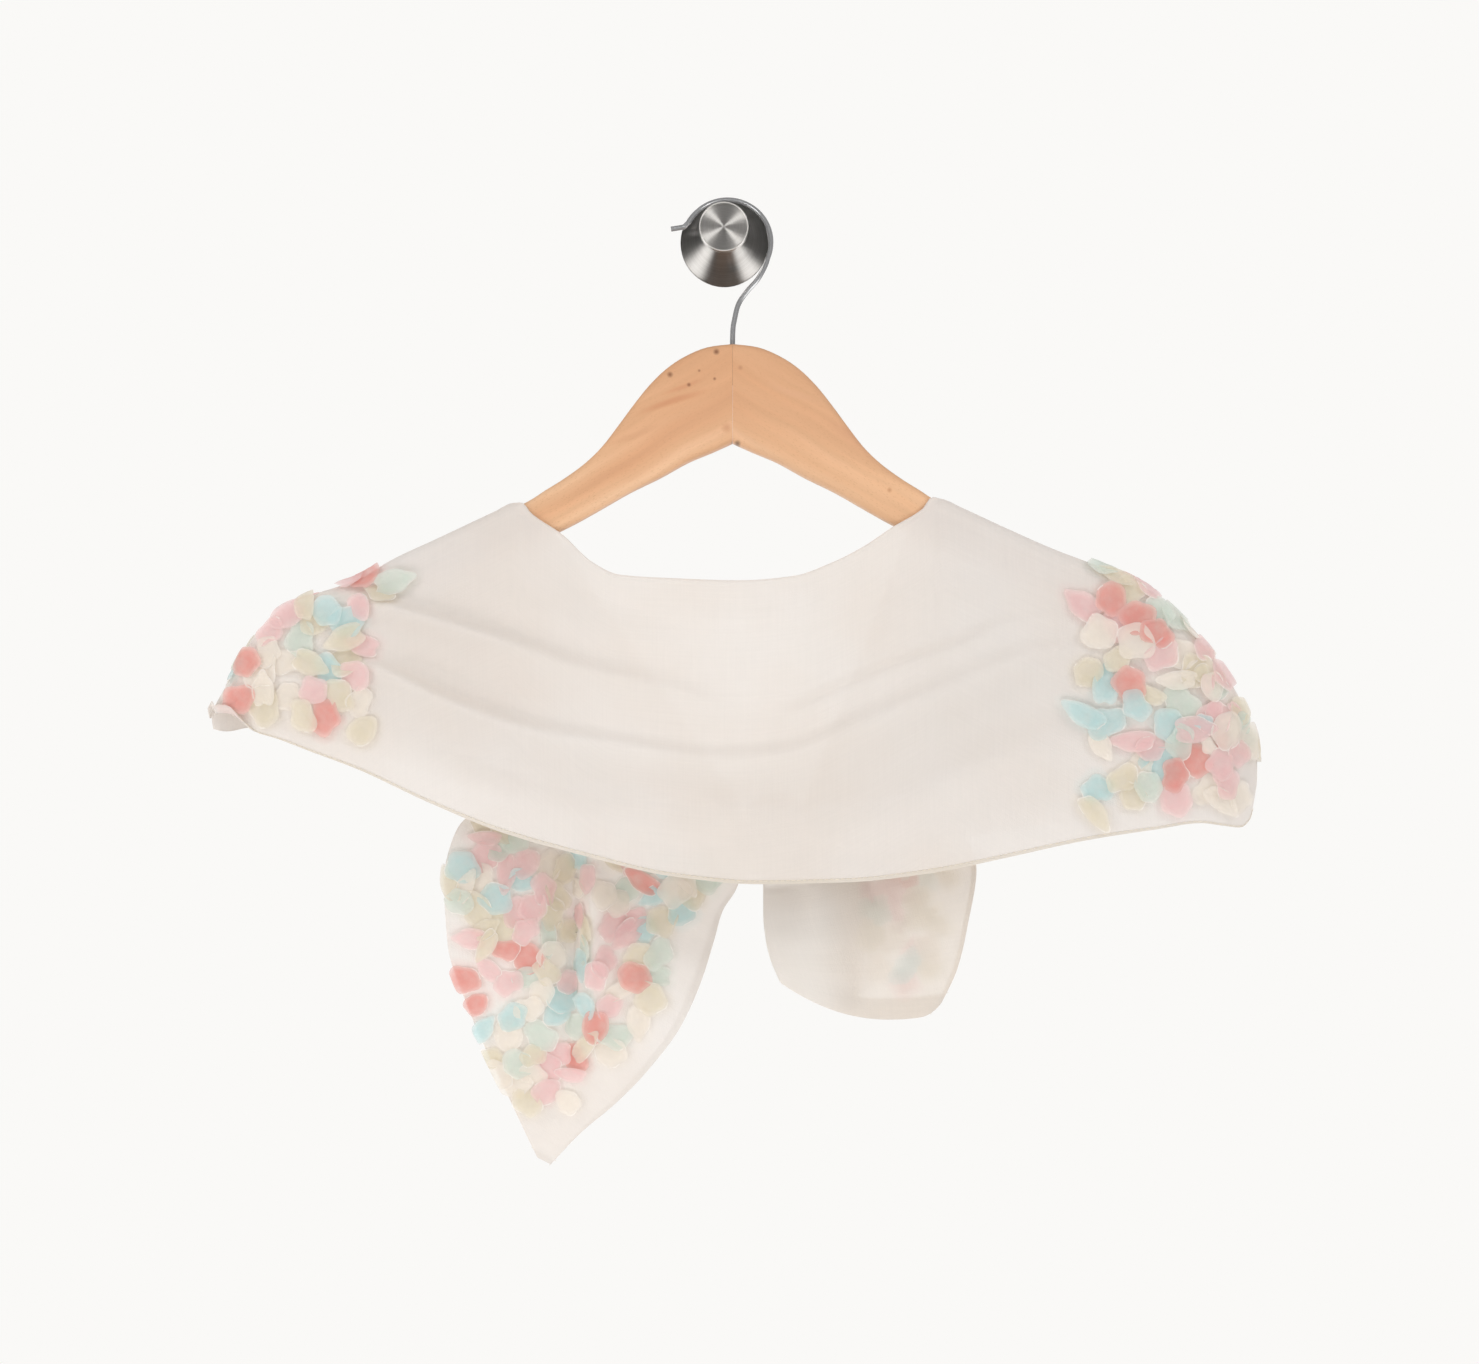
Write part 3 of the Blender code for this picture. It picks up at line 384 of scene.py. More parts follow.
def fair(rows, at):
    """Reads every column after the first at places between the rows, on curves that never overshoot them."""
    places, *values = np.array(rows, float).T
    values = np.array(values)
    steps = np.diff(places)
    slopes = np.diff(values) / steps
    total, product = slopes[:, :-1] + slopes[:, 1:], slopes[:, :-1] * slopes[:, 1:]
    inner = np.where(product > 0, 2 * product / np.where(total == 0, 1, total), 0)
    tangents = np.concatenate((slopes[:, :1], inner, slopes[:, -1:]), axis=1)
    at = np.clip(at, places[0], places[-1])
    index = np.clip(np.searchsorted(places, at, side="right") - 1, 0, len(steps) - 1)
    step = steps[index]
    t = (at - places[index]) / step
    rise = values[:, index + 1] - values[:, index]
    start, end = tangents[:, index] * step, tangents[:, index + 1] * step
    bend = (3 * rise - 2 * start - end) * t**2 + (start + end - 2 * rise) * t**3
    return values[:, index] + start * t + bend


def along_tail(rows):
    """Stations along a tail, and each column of its table at them as an upright array."""
    station = np.linspace(0, len(rows) - 1, TAIL_SECTIONS)
    return station, fair([(number, *row) for number, row in enumerate(rows)], station)[..., None]


def turn_share(x, turn):
    """1 where the cloth lies open, falling on a quarter circle to 0 at the outermost point of a turn."""
    return np.sqrt(1 - np.clip((x - turn[0]) / (turn[1] - turn[0]), 0, 1) ** 2)


def turn_stations(turn):
    """Places along a turn, closer together where it is steep."""
    return turn[0] + (turn[1] - turn[0]) * np.sin(np.linspace(0, pi / 2, TURN_COLUMNS + 1)[1:])


def smooth_step(low, high, at):
    """0 below low and 1 above high, with a soft rise between."""
    t = np.clip((at - low) / (high - low), 0, 1)
    return t * t * (3 - 2 * t)


def even(count):
    """Even steps from 0 to 1, one for each row of a grid."""
    return np.linspace(0, 1, count)[None, :]


def hump(at, middle, half):
    """1 at the middle of a soft ridge, dying out on both sides."""
    return np.exp(-(((at - middle) / half) ** 2))


def unit(vectors):
    """Vectors of a grid, made one long."""
    return vectors / np.maximum(np.linalg.norm(vectors, axis=-1, keepdims=True), 1e-9)


def surface_normals(points):
    """Unit normals of a grid of places, on the side that the solids are thickened to."""
    return unit(np.cross(np.gradient(points, axis=1), np.gradient(points, axis=0)))


def lifted(points, height):
    """A grid moved out along its normals."""
    return points + surface_normals(points) * height


def from_edge(points, axis=1):
    """Length of cloth from each place of a grid to its last row, or with axis 0 to its last section."""
    steps = np.flip(np.linalg.norm(np.diff(points, axis=axis), axis=-1), axis)
    return np.pad(np.flip(np.cumsum(steps, axis=axis), axis), ((0, 1 - axis), (0, axis)))


def creases(x, z):
    """Height of the table of soft ridges and troughs at places of the front."""
    total = np.zeros_like(x)
    t = even(CREASE_STEPS)[0]
    for x0, z0, x1, z1, x2, z2, height, above, below in FRONT_CREASES:
        path_x, path_z = ((1 - t) ** 2 * a + 2 * t * (1 - t) * (2 * b - 0.5 * (a + c)) + t**2 * c
                          for a, b, c in ((x0, x1, x2), (z0, z1, z2)))
        square = (x[..., None] - path_x) ** 2 + (z[..., None] - path_z) ** 2
        nearest = np.argmin(square, axis=-1)
        fade = np.sin(pi * np.clip(0.08 + 0.84 * t[nearest], 0, 1)) ** 0.8
        reach = np.where(z > path_z[nearest], above, below)
        total += height * fade * hump(np.sqrt(square.min(axis=-1)), 0, reach)
    return total


def ripple(points, *waves):
    """Slow unevenness of hung cloth: smooth noise over a grid, by the size, height and seed of each wave."""
    total = 0
    for size, height, seed in waves:
        shift = Vector((seed * 3.7, seed * 1.3, seed * 2.1))
        heights = [noise.noise(Vector(point) + shift) for point in points.reshape(-1, 3) / size]
        total = total + height * np.array(heights).reshape(points.shape[:2])
    return total


def roll_section(side, x, top, low, belly, share):
    """Sections that start on the crest, roll over it and go down: grids of shares of the fall and of places.

    top, low and belly are read at each x, share is that of turn_share, and side is 1 in front of the hanger
    and -1 behind.
    """
    top_z, crest, roll, drop, low_z, low_out, belly, share = (v[:, None] for v in (*top, *low, belly, share))
    down = even(MAIN_ROWS) * np.ones_like(share)
    drop = np.minimum(drop, 0.3 * (top_z - low_z))
    angle = np.linspace(0, pi / 2, ROLL_ROWS + 1)[None, :-1]
    roll_out = crest + side * (share * roll * np.sin(angle) - CREST_LAP)
    open_out = (crest + side * roll) * (1 - down) + low_out * down
    middle = np.where(share < 1, crest * (1 - down) + TURN_OUT * down, crest)
    bow = side * belly * 4 * down * (1 - down)
    main_out = middle + (open_out + bow - middle) * share - side * CREST_LAP
    start_z = top_z - drop
    out = np.concatenate((roll_out, main_out), axis=1)
    z = np.concatenate((top_z - drop * (1 - np.cos(angle)), start_z + (low_z - start_z) * down), axis=1)
    return down, np.stack((x[:, None] * np.ones_like(z), -out, z), axis=-1)


def front_surface():
    """Hanger side of the front stretch as a grid of places: left to right, then from crest to lower edge."""
    main = np.linspace(LEFT_TURN[0], RIGHT_TURN[0], FRONT_COLUMNS)
    x = np.concatenate((turn_stations(LEFT_TURN)[::-1], main, turn_stations(RIGHT_TURN)))
    *low, belly = fair(FRONT_LOW, x)
    share = turn_share(x, LEFT_TURN) * turn_share(x, RIGHT_TURN)
    _, points = roll_section(1, x, fair((*LEFT_RIDGE, *NECKLINE, *RIGHT_RIDGE), x), low, belly, share)
    across, _, z = np.moveaxis(points, -1, 0)
    height = np.zeros_like(z)
    for rows in FRONT_SWAGS:
        crest_z, swag, reach = fair(rows, x)[..., None]
        lean = np.where(z > crest_z, *SWAG_LEAN) if swag.max() > 0 else 1
        height += SWAG_GAIN * swag * hump(z, crest_z, reach * lean)
    height += creases(across, z)
    height += ripple(points, *RIPPLES["front"])
    settled = smooth_step(0, ROLL_ROWS + 6, np.arange(z.shape[1]))
    points[..., 1] -= share[:, None] * height * settled
    return curled_lip(points, *NOSE_CURL)


def back_surface(side):
    """Hanger side of a back stretch, from its turn to the knot, gathered more finely as it goes in."""
    ridge, selvedge, low, turn, knot_end = BACKS[side]
    x = np.sort(np.concatenate((turn_stations(turn), np.linspace(turn[0], knot_end, BACK_COLUMNS))))
    share = turn_share(x, turn)
    top = fair(sorted((*ridge, *selvedge)), x)
    down, points = roll_section(-1, x, top, fair(low, x), np.zeros_like(x), share)
    nearness = np.clip(1 - np.abs(x - knot_end) / GATHER_REACH, 0, 1)[:, None]
    fall = np.pad(down, ((0, 0), (ROLL_ROWS, 0)))
    gather = 0.5 - 0.5 * np.cos(tau * GATHER_WAVES * fall)
    pleats = np.sin(tau * (PLEAT_WAVES * fall + 0.35 * np.sin(5 * fall + side)))
    points[..., 1] += GATHER_HEIGHT * nearness**1.5 * gather
    points[..., 1] += PLEAT_HEIGHT * nearness**0.8 * pleats * smooth_step(0, 0.12, fall)
    height = share[:, None] * ripple(points, *RIPPLES[side])
    points[..., 1] += height * smooth_step(0, 0.15, fall)
    return points


def hung(x, out, z, opens, *waves):
    """Grid of a hung tail, uneven from where it has opened past the knot."""
    points = np.stack((x, -out, z), axis=-1)
    points[..., 1] -= smooth_step(0, 1, opens)[:, None] * ripple(points, *waves)
    return points


def left_tail_surface():
    """Front face of the left tail: sections from the knot to the corner, each left to right."""
    station, (left_x, left_z, right_x, right_z, base) = along_tail(LEFT_TAIL)
    v = even(TAIL_ROWS)
    x = left_x + (right_x - left_x) * v
    z = left_z + (right_z - left_z) * v
    fade = np.interp(z, *TAIL_FADE)
    valley, crest, groove = (height * hump(x, middle, half)
                             for height, middle, half in (TAIL_VALLEY, TAIL_CREST, TAIL_GROOVE))
    x = x - TAIL_LEAN * fade * hump(x, *TAIL_CREST[1:])
    return hung(x, base + fade * (crest - valley - groove), z, station / 2, *RIPPLES["left_tail"])


def right_tail_surface():
    """Outer face of the folded right tail: the far layer, the turn at the left, then the near layer."""
    station, (left_x, left_z, right_x, right_z, bow, turn, base) = along_tail(RIGHT_TAIL)
    width = right_x - left_x
    depth = np.minimum(TAIL_TURN_DEPTH, 2 + turn)
    turn_x = left_x + turn
    far_x = np.maximum(turn_x + 1, left_x + TAIL_FAR_SHARE * width)
    t = TAIL_FAR_END * even(TAIL_STEPS[0])
    far = far_x + (turn_x - far_x) * t, base - TAIL_FAR_SINK * depth + 0 * t, TAIL_FAR_LIFT + 0 * (t + base)
    swing = pi * (even(TAIL_STEPS[1]) - 0.5)
    rise = np.sin(swing)
    layer = TAIL_NEAR_RISE * 0.5 * (1 + rise) - TAIL_FAR_SINK * 0.5 * (1 - rise)
    round_turn = (turn_x - turn * np.cos(swing), base + depth * layer,
                  TAIL_FAR_LIFT * 0.5 * (1 - rise) + 0 * base)
    t = even(TAIL_STEPS[2])[:, 1:]
    near_out = base + depth * TAIL_NEAR_RISE * (1 - t) + TAIL_RIPPLE * np.sin(tau * t)
    near = turn_x + (right_x - turn_x) * t, near_out, 0 * (t + base)
    x, out, lift = (np.concatenate(parts, axis=1) for parts in zip(far, round_turn, near))
    share = (x - left_x) / width
    z = left_z + (right_z - left_z) * share - bow * 4 * share * (1 - share) + lift
    near_layer = smooth_step(0.44, 0.52, even(x.shape[1]))
    for fold_x, height, half, top, foot in TAIL_FOLDS:
        out = out + near_layer * height * hump(x, fold_x, half) * smooth_step(foot, top, z)
    return rounded_corner(hung(x, out, z, station / 1.5, *RIPPLES["right_tail"]), TAIL_CORNER)


def rounded_corner(points, radius):
    """Rounds the corner between the last section and the last row of a grid, by sliding its places in."""
    ends = [np.clip(radius - from_edge(points, axis), 0, radius) for axis in (0, 1)]
    shrink = np.where(np.minimum(*ends) > 0, np.maximum(*ends) / np.maximum(np.hypot(*ends), 1e-9), 1)
    ways = [unit(np.gradient(points, axis=axis)) for axis in (0, 1)]
    return points - sum(way * (end * (1 - shrink))[..., None] for way, end in zip(ways, ends))


def curled_lip(points, first, last, length, radius):
    """Curls the lower edge outwards into a small roll, fully at one place of x and not at all at another."""
    reach = length * smooth_step(0, 1, (points[:, 0, 0] - last) / (first - last))
    normals = unit(surface_normals(points) * (0.2, 1, 1) + (0, -0.6, 0))
    curled = points.copy()
    for i, to_low in enumerate(from_edge(points)):
        rolled = np.nonzero(to_low < reach[i])[0]
        if len(rolled) >= 3:
            start = rolled[0]
            way = unit(points[i, -1] - points[i, start])
            angle = ((to_low[start] - to_low[rolled]) / radius)[:, None]
            bend = way * np.sin(angle) + normals[i, start] * (1 - np.cos(angle))
            curled[i, rolled] = points[i, start] + radius * bend
    return curled


def linked(name, data):
    """New object in the scene."""
    made = bpy.data.objects.new(name, data)
    bpy.context.scene.collection.objects.link(made)
    return made


def mesh_object(name, places, edges, faces):
    """New object with a mesh on places in millimetres."""
    data = bpy.data.meshes.new(name)
    data.from_pydata((places.reshape(-1, 3) * MM).tolist(), edges, faces)
    return linked(name, data)


def smoothed(data, finish, sharp):
    """Shades a mesh smooth but for its sharp edges, and gives it its finish."""
    data.shade_smooth()
    data.set_sharp_from_angle(angle=radians(sharp))
    data.materials.append(finish)


def from_bmesh(name, mesh):
    """Smooth mesh data from a finished bmesh."""
    data = bpy.data.meshes.new(name)
    mesh.to_mesh(data)
    mesh.free()
    data.shade_smooth()
    return data


def mesh_piece(name, mesh, finish, sharp=40):
    """A piece from a finished bmesh."""
    data = from_bmesh(name, mesh)
    smoothed(data, finish, sharp)
    return linked(name, data)


def keep(data, name, values, kind="FLOAT", field="value"):
    """Stores a value for each place of a mesh."""
    data.attributes.new(name, kind, "POINT").data.foreach_set(field, values)


def grid_cells(points):
    """Numbers of a grid's places, and the four round each of its cells."""
    index = np.arange(points[..., 0].size).reshape(points.shape[:2])
    corners = (index[:-1, :-1], index[:-1, 1:], index[1:, 1:], index[1:, :-1])
    return index, np.stack(corners, axis=-1).reshape(-1, 4)


def cloth_lengths(points):
    """Lengths along and across the cloth at each place of a grid, in metres, for patterns that follow it."""
    along, down = (np.linalg.norm(np.diff(points, axis=axis), axis=-1) for axis in (0, 1))
    u = np.pad(np.cumsum(along.mean(axis=1)), (1, 0))[:, None] * np.ones(points.shape[:2])
    v = np.pad(np.cumsum(down, axis=1), ((0, 0), (1, 0)))
    return np.stack((u, v), axis=-1).reshape(-1, 2) * MM


def shell(name, points, thickness, finish, bottom):
    """Closed thin cloth on a grid of places: an inner and an outer layer joined round the rim."""
    index, cells = grid_cells(points)
    edge = np.concatenate((index[0, :], index[1:, -1], index[-1, -2::-1], index[-2:0:-1, 0]))
    after = np.roll(edge, -1)
    rim = np.stack((edge, edge + index.size, after + index.size, after), axis=-1)
    faces = np.concatenate((cells[:, ::-1], cells + index.size, rim))
    layers = np.concatenate((lifted(points, bottom), lifted(points, bottom + thickness)))
    made = mesh_object(name, layers, [], faces.tolist())
    data = made.data
    corner = np.empty(len(data.loops), np.int32)
    data.loops.foreach_get("vertex_index", corner)
    lengths = np.tile(cloth_lengths(points), (2, 1))
    data.uv_layers.new(name="cloth").data.foreach_set("uv", lengths[corner].ravel())
    smoothed(data, finish, 70)
    mesh = bmesh.new()
    mesh.from_mesh(data)
    if mesh.calc_volume(signed=True) < 0:
        bmesh.ops.reverse_faces(mesh, faces=mesh.faces)
        mesh.to_mesh(data)
    mesh.free()
    return made


def add_node(tree, kind, inputs=(), **settings):
    """Adds a node, sets its own settings, and fills its inputs with values or with links.

    A kind without "Node" in it is a shader's. Inputs are a list in order, or go by name or number: a MapRange
    takes the value, where it runs from and to, and what that becomes. A node stands for its first output.
    """
    made = tree.nodes.new(kind if "Node" in kind else "ShaderNode" + kind)
    for name, value in settings.items():
        setattr(made, name, value)
    for key, value in dict(enumerate(inputs) if isinstance(inputs, list) else inputs).items():
        if isinstance(value, bpy.types.Node):
            value = next(socket for socket in value.outputs if socket.enabled)
        if isinstance(value, bpy.types.NodeSocket):
            tree.links.new(value, made.inputs[key])
        else:
            made.inputs[key].default_value = value
    return made


def linear(hex_colour):
    """Linear red, green, blue and alpha of an sRGB hex colour."""
    shares = [int(hex_colour[i:i + 2], 16) / 255 for i in (1, 3, 5)]
    return (*((c / 12.92 if c <= 0.04045 else ((c + 0.055) / 1.055) ** 2.4) for c in shares), 1)


def material(name, finish, *about):
    """New material from a finish, a function that makes the surface from add_node and Object coordinates."""
    made = bpy.data.materials.new(name)
    made.use_nodes = True
    made.node_tree.nodes.clear()
    node = partial(add_node, made.node_tree)
    node("OutputMaterial", [finish(node, node("TexCoord").outputs["Object"], *about)])
    return made


def stops(ramp, *colours):
    """Sets the stops of a colour ramp from (place, hex colour) pairs."""
    elements = ramp.color_ramp.elements
    while len(elements) < len(colours):
        elements.new(1)
    for element, (place, colour) in zip(elements, colours):
        element.position = place
        element.color = linear(colour)
    return ramp


def crepe(node, place, pale, warm, sheer=CREPE_SHEER, glow_share=CREPE_GLOW, lit="#F0DCC8"):
    """Sheer polyester crepe, plain woven from twisted yarn: matt, pebbled, with faint slubs and a soft sheen.

    Real threads lie about 0.35 mm apart. They are drawn every 1.1 mm, the finest that still shows.
    The share of light that comes through is a number, or the name of an attribute where it differs.
    """
    if isinstance(glow_share, str):
        glow_share = node("Attribute", attribute_name=glow_share).outputs["Fac"]
    cloth = node("UVMap", uv_map="cloth")
    patches = node("TexNoise", {"Vector": place, "Scale": 9, "Detail": 3})
    tone = stops(node("ValToRGB", [patches]), (0.38, warm), (0.62, pale))
    slubs = []
    for scale in ((900, 26, 1), (22, 800, 1)):
        way = node("Mapping", {"Vector": cloth, "Scale": scale})
        slubs.append(node("TexNoise", {"Vector": way, "Scale": 1, "Detail": 2}))
    yarn = node("Math", slubs)
    # Painted show-through: the dye of a petal lying behind the cloth is mixed into the cloth's colour.
    behind = node("Attribute", attribute_name="petal_behind").outputs["Fac"]
    dye = node("Attribute", attribute_name="petal_dye")
    seen = node("Mix", {0: behind, 6: tone, 7: dye}, data_type="RGBA")
    shade = node("MapRange", [yarn, 0.7, 1.3, 0.982, 1.012])
    colour = node("VectorMath", {0: seen, "Scale": shade}, operation="SCALE")
    threads = 1 / (THREAD_SPACING * MM)
    grid = node("Mapping", {"Vector": cloth, "Scale": (threads, threads, 1)})
    weave = node("TexVoronoi", {"Vector": grid, "Scale": 1, "Randomness": 0.55})
    height = node("Math", [weave, yarn])
    bump = node("Bump", {"Height": height, "Strength": 0.22, "Distance": 0.3 * MM})
    shader = node("BsdfPrincipled", {
        "Base Color": colour, "Roughness": 0.72, "Normal": bump, "Sheen Weight": 0.25,
        "Sheen Roughness": 0.45, "Specular IOR Level": 0.3})
    through = node("Mix", {0: 0.6, 6: colour, 7: linear(lit)}, data_type="RGBA")
    glow = node("BsdfTranslucent", {"Color": through, "Normal": bump})
    woven = node("MixShader", [glow_share, shader, glow])
    return node("MixShader", [sheer, woven, node("BsdfTransparent")])


def organza(node, place):
    """Cut polyester organza in six dyes: thin, see-through, a little glossy, and paler at its cut edge. The
    paleness towards the rim is painted light over the shade under the petal's edge, and the white arcs at the
    very edge are fraying and also a painted highlight of the raised edge.
    """
    dye = stops(node("ValToRGB", [node("Attribute", attribute_name="tint").outputs["Fac"]]), *DYES)
    dye.color_ramp.interpolation = "CONSTANT"
    rim = node("Attribute", attribute_name="rim").outputs["Fac"]
    # White arcs at the very edge: fraying, and a painted highlight where the raised edge catches the light.
    turns = node("TexNoise", {"Vector": place, "Scale": 85})
    fray_and_painted_glint = node("MapRange", [turns, 0.54, 0.60, 0, 0.95])
    paler = node("Math", [node("MapRange", [rim, 0.90, 0.98, 0, 1]), fray_and_painted_glint], operation="MULTIPLY")
    wear = node("TexNoise", {"Vector": place, "Scale": 160, "Detail": 3})
    mottle = node("MapRange", [wear, 0.35, 0.75, 0, 0.28])
    # Random mottle from wear, and towards the rim the dye painted paler in the cloth's colour: painted light
    # that hides the shade under the petal's edge.
    wear_and_painted_rim_light = node("Math", [mottle, node("MapRange", [rim, 0.6, 1, 0, 0.42])], operation="MAXIMUM")
    mottled = node("Mix", {0: wear_and_painted_rim_light, 6: dye, 7: linear("#F7F1EC")}, data_type="RGBA")
    colour = node("Mix", {0: paler, 6: mottled, 7: linear("#FBF6F1")}, data_type="RGBA")
    ribs = node("TexNoise", {"Vector": place, "Scale": 900, "Detail": 1})
    bump = node("Bump", {"Height": ribs, "Strength": 0.15, "Distance": 0.2 * MM})
    shader = node("BsdfPrincipled", {
        "Base Color": colour, "Roughness": 0.5, "Normal": bump, "Sheen Weight": 0.2,
        "Specular IOR Level": 0.35})
    cloth = node("MixShader", [0.4, shader, node("BsdfTranslucent", [colour])])
    thin = node("MapRange", [rim, 0.62, 1, 0.14, 0.30])
    clear = node("MapRange", [paler, 0, 1, thin, 0.1])
    return node("MixShader", [clear, cloth, node("BsdfTransparent")])


def beech(node, place, side):
    """Steamed beech, planed, sanded, lacquered: pink tan, straight grain along the arm, short dark flecks."""
    turned = node("Mapping", {"Vector": place, "Rotation": (0, -side * radians(GRAIN_TILT), 0)})
    sway = node("TexNoise", {"Vector": turned, "Scale": 14, "Detail": 2}).outputs["Color"]
    shift = node("VectorMath", [sway, (0, 0, 0.012)], operation="MULTIPLY")
    swayed = node("VectorMath", [turned, shift])
    grain_way = node("Mapping", {"Vector": swayed, "Scale": (6, 90, 170)})
    grain = node("TexNoise", {"Vector": grain_way, "Scale": 1, "Detail": 5, "Roughness": 0.6})
    rings_way = node("Mapping", {"Vector": swayed, "Scale": (2.5, 30, 48)})
    rings = node("TexNoise", {"Vector": rings_way, "Scale": 1, "Detail": 2})
    base = stops(node("ValToRGB", [rings]), (0.30, "#D8A27A"), (0.50, "#E4B48B"), (0.70, "#ECC39E"))
    fine = node("MapRange", [grain, 0.3, 0.7, 0.90, 1.06])
    colour = node("VectorMath", {0: base, "Scale": fine}, operation="SCALE")
    flecks_way = node("Mapping", {"Vector": turned, "Scale": (330, 900, 1500)})
    flecks = node("TexVoronoi", {"Vector": flecks_way, "Scale": 1})
    height = node("SeparateXYZ", [place]).outputs["Z"]
    marks = [(node("MapRange", [flecks, 0.10, 0.28, 0.35, 0]), "#A9704A"),
             (node("MapRange", [height, -0.15, -0.08, 0, 0.55]), "#D29A71")]
    for x0, z0, x1, z1, half, hue in STREAKS[side]:
        way = Vector((x1 - x0, 0, z1 - z0)).normalized()
        apart = node("VectorMath", [place, Vector((x0 + x1, 0, z0 + z1)) * -0.5 * MM])
        swung = node("VectorMath", [apart, shift])
        reach = 0.5 * hypot(x1 - x0, z1 - z0)
        along, across = (node("VectorMath", [swung, step], operation="DOT_PRODUCT") for step in (
            way / (reach * MM), Vector((-way.z, 0, way.x)) / (half * MM)))
        away = node("VectorMath", [node("CombineXYZ", [along, across])], operation="LENGTH")
        marks.append((node("MapRange", [away, 0.2, 1.1, 0.5, 0], interpolation_type="SMOOTHSTEP"), hue))
    for x, z, size, hue in WOOD_KNOTS[side]:
        apart = node("VectorMath", [place, (-x * MM, 0, -z * MM)])
        flat = node("VectorMath", [apart, (1, 0, 1)], operation="MULTIPLY")
        away = node("VectorMath", [flat], operation="LENGTH")
        marks.append((node("MapRange", [away, 0.35 * size * MM, 1.5 * size * MM, 0.75, 0]), hue))
    for mask, hue in marks:
        colour = node("Mix", {0: mask, 6: colour, 7: linear(hue)}, data_type="RGBA")
    bump = node("Bump", {"Height": grain, "Strength": 0.08, "Distance": 0.15 * MM})
    gloss = node("MapRange", {0: grain, "To Min": 0.38, "To Max": 0.5})
    return node("BsdfPrincipled", {
        "Base Color": colour, "Roughness": gloss, "Normal": bump, "IOR": 1.5, "Coat Weight": 0.15,
        "Coat Roughness": 0.3})


def turned_steel(node, place):
    """Stainless steel, turned on a lathe, lightly brushed: fine rings that draw highlights out into fans."""
    x, y, z = node("SeparateXYZ", [place]).outputs
    radius = node("VectorMath", [node("CombineXYZ", [x, z])], operation="LENGTH")
    rings = node("TexNoise", {"Vector": node("CombineXYZ", [radius, y]), "Scale": 2600, "Detail": 2})
    bump = node("Bump", {"Height": rings, "Strength": 0.04, "Distance": 0.05 * MM})
    tone = stops(node("ValToRGB", [rings]), (0.3, "#B5B1AC"), (0.7, "#D6D3CF"))
    around = node("Tangent", direction_type="RADIAL", axis="Y")
    return node("BsdfPrincipled", {
        "Base Color": tone, "Metallic": 1, "Roughness": 0.32, "Anisotropic": 0.95,
        "Anisotropic Rotation": 0.25, "Tangent": around, "Normal": bump})


def filed_steel_and_painted_highlight(node, place):
    """Stainless steel, filed by hand: fine scratches each way, which scatter light as a paler line. Its pale,
    half-metallic tone is also a painted highlight: the bright ring that the chamfer catches.
    """
    marks = node("TexNoise", {"Vector": place, "Scale": 900})
    tone = stops(node("ValToRGB", [marks]), (0.3, "#D8D4CE"), (0.7, "#E6E3DE"))
    return node("BsdfPrincipled", {"Base Color": tone, "Metallic": 0.45, "Roughness": 0.4})


def bright_wire(node, place):
    """Drawn steel wire, zinc plated: smooth and shiny, with a faint milky bloom that is finely mottled."""
    marks = node("TexNoise", {"Vector": place, "Scale": 700, "Detail": 2})
    gloss = node("MapRange", {0: marks, "To Min": 0.10, "To Max": 0.16})
    tone = stops(node("ValToRGB", [marks]), (0.3, "#CFCFD0"), (0.7, "#D9D9DA"))
    return node("BsdfPrincipled", {"Base Color": tone, "Metallic": 0.66, "Roughness": gloss})


def cotton_thread(node, place):
    """Spun cotton sewing thread: matt, a shade yellower than the cloth, with a fine twist."""
    twist = node("TexNoise", {"Vector": place, "Scale": 1400})
    tone = stops(node("ValToRGB", [twist]), (0.3, "#DDD2BC"), (0.7, "#F2EAD9"))
    bump = node("Bump", {"Height": twist, "Strength": 0.3, "Distance": 0.1 * MM})
    return node("BsdfPrincipled", {
        "Base Color": tone, "Roughness": 0.85, "Normal": bump, "Sheen Weight": 0.2})


def floor_paint(node, place):
    """Matt emulsion, rolled on: a pale, even ground with a faint stipple that gives no shine."""
    rolled = node("TexNoise", {"Vector": place, "Scale": 60})
    tone = stops(node("ValToRGB", [rolled]), (0.3, "#F3F1EE"), (0.7, "#F7F5F2"))
    return node("BsdfPrincipled", {"Base Color": tone, "Roughness": 0.8})


def spot(x, out, z):
    """Place in metres of a point that lies out from the wall."""
    return Vector((x, -out, z)) * MM


def in_hanger_plane(across, depth, z):
    """Place in metres of a point given in the plane of the hanger."""
    lean = radians(HANGER_LEAN)
    y = depth * cos(lean) + z * sin(lean)
    return spot(HANGER_X + across, HANGER_OUT - y, z * cos(lean) - depth * sin(lean))


def baked(made, name):
    """Replaces an object by the plain mesh that its modifiers or its curve come to."""
    bpy.context.view_layer.update()
    graph = bpy.context.evaluated_depsgraph_get()
    data = bpy.data.meshes.new_from_object(made.evaluated_get(graph))
    data.name = name
    plain = linked(name, data)
    bpy.data.objects.remove(made)
    return plain


def smooth_route(points, parts):
    """Catmull-Rom curve through a list of points."""
    padded = [points[0], *points, points[-1]]
    route = []
    for corners in zip(padded, padded[1:], padded[2:], padded[3:]):
        for t in (part / parts for part in range(parts)):
            route.append(tuple(
                0.5 * (2 * q + (r - p) * t + (2 * p - 5 * q + 4 * r - s) * t**2
                       + (3 * q - p - 3 * r + s) * t**3)
                for p, q, r, s in zip(*corners)))
    return [*route, tuple(points[-1])]


def round_angles(count):
    """Evenly spread angles of a full turn."""
    return [tau * step / count for step in range(count)]


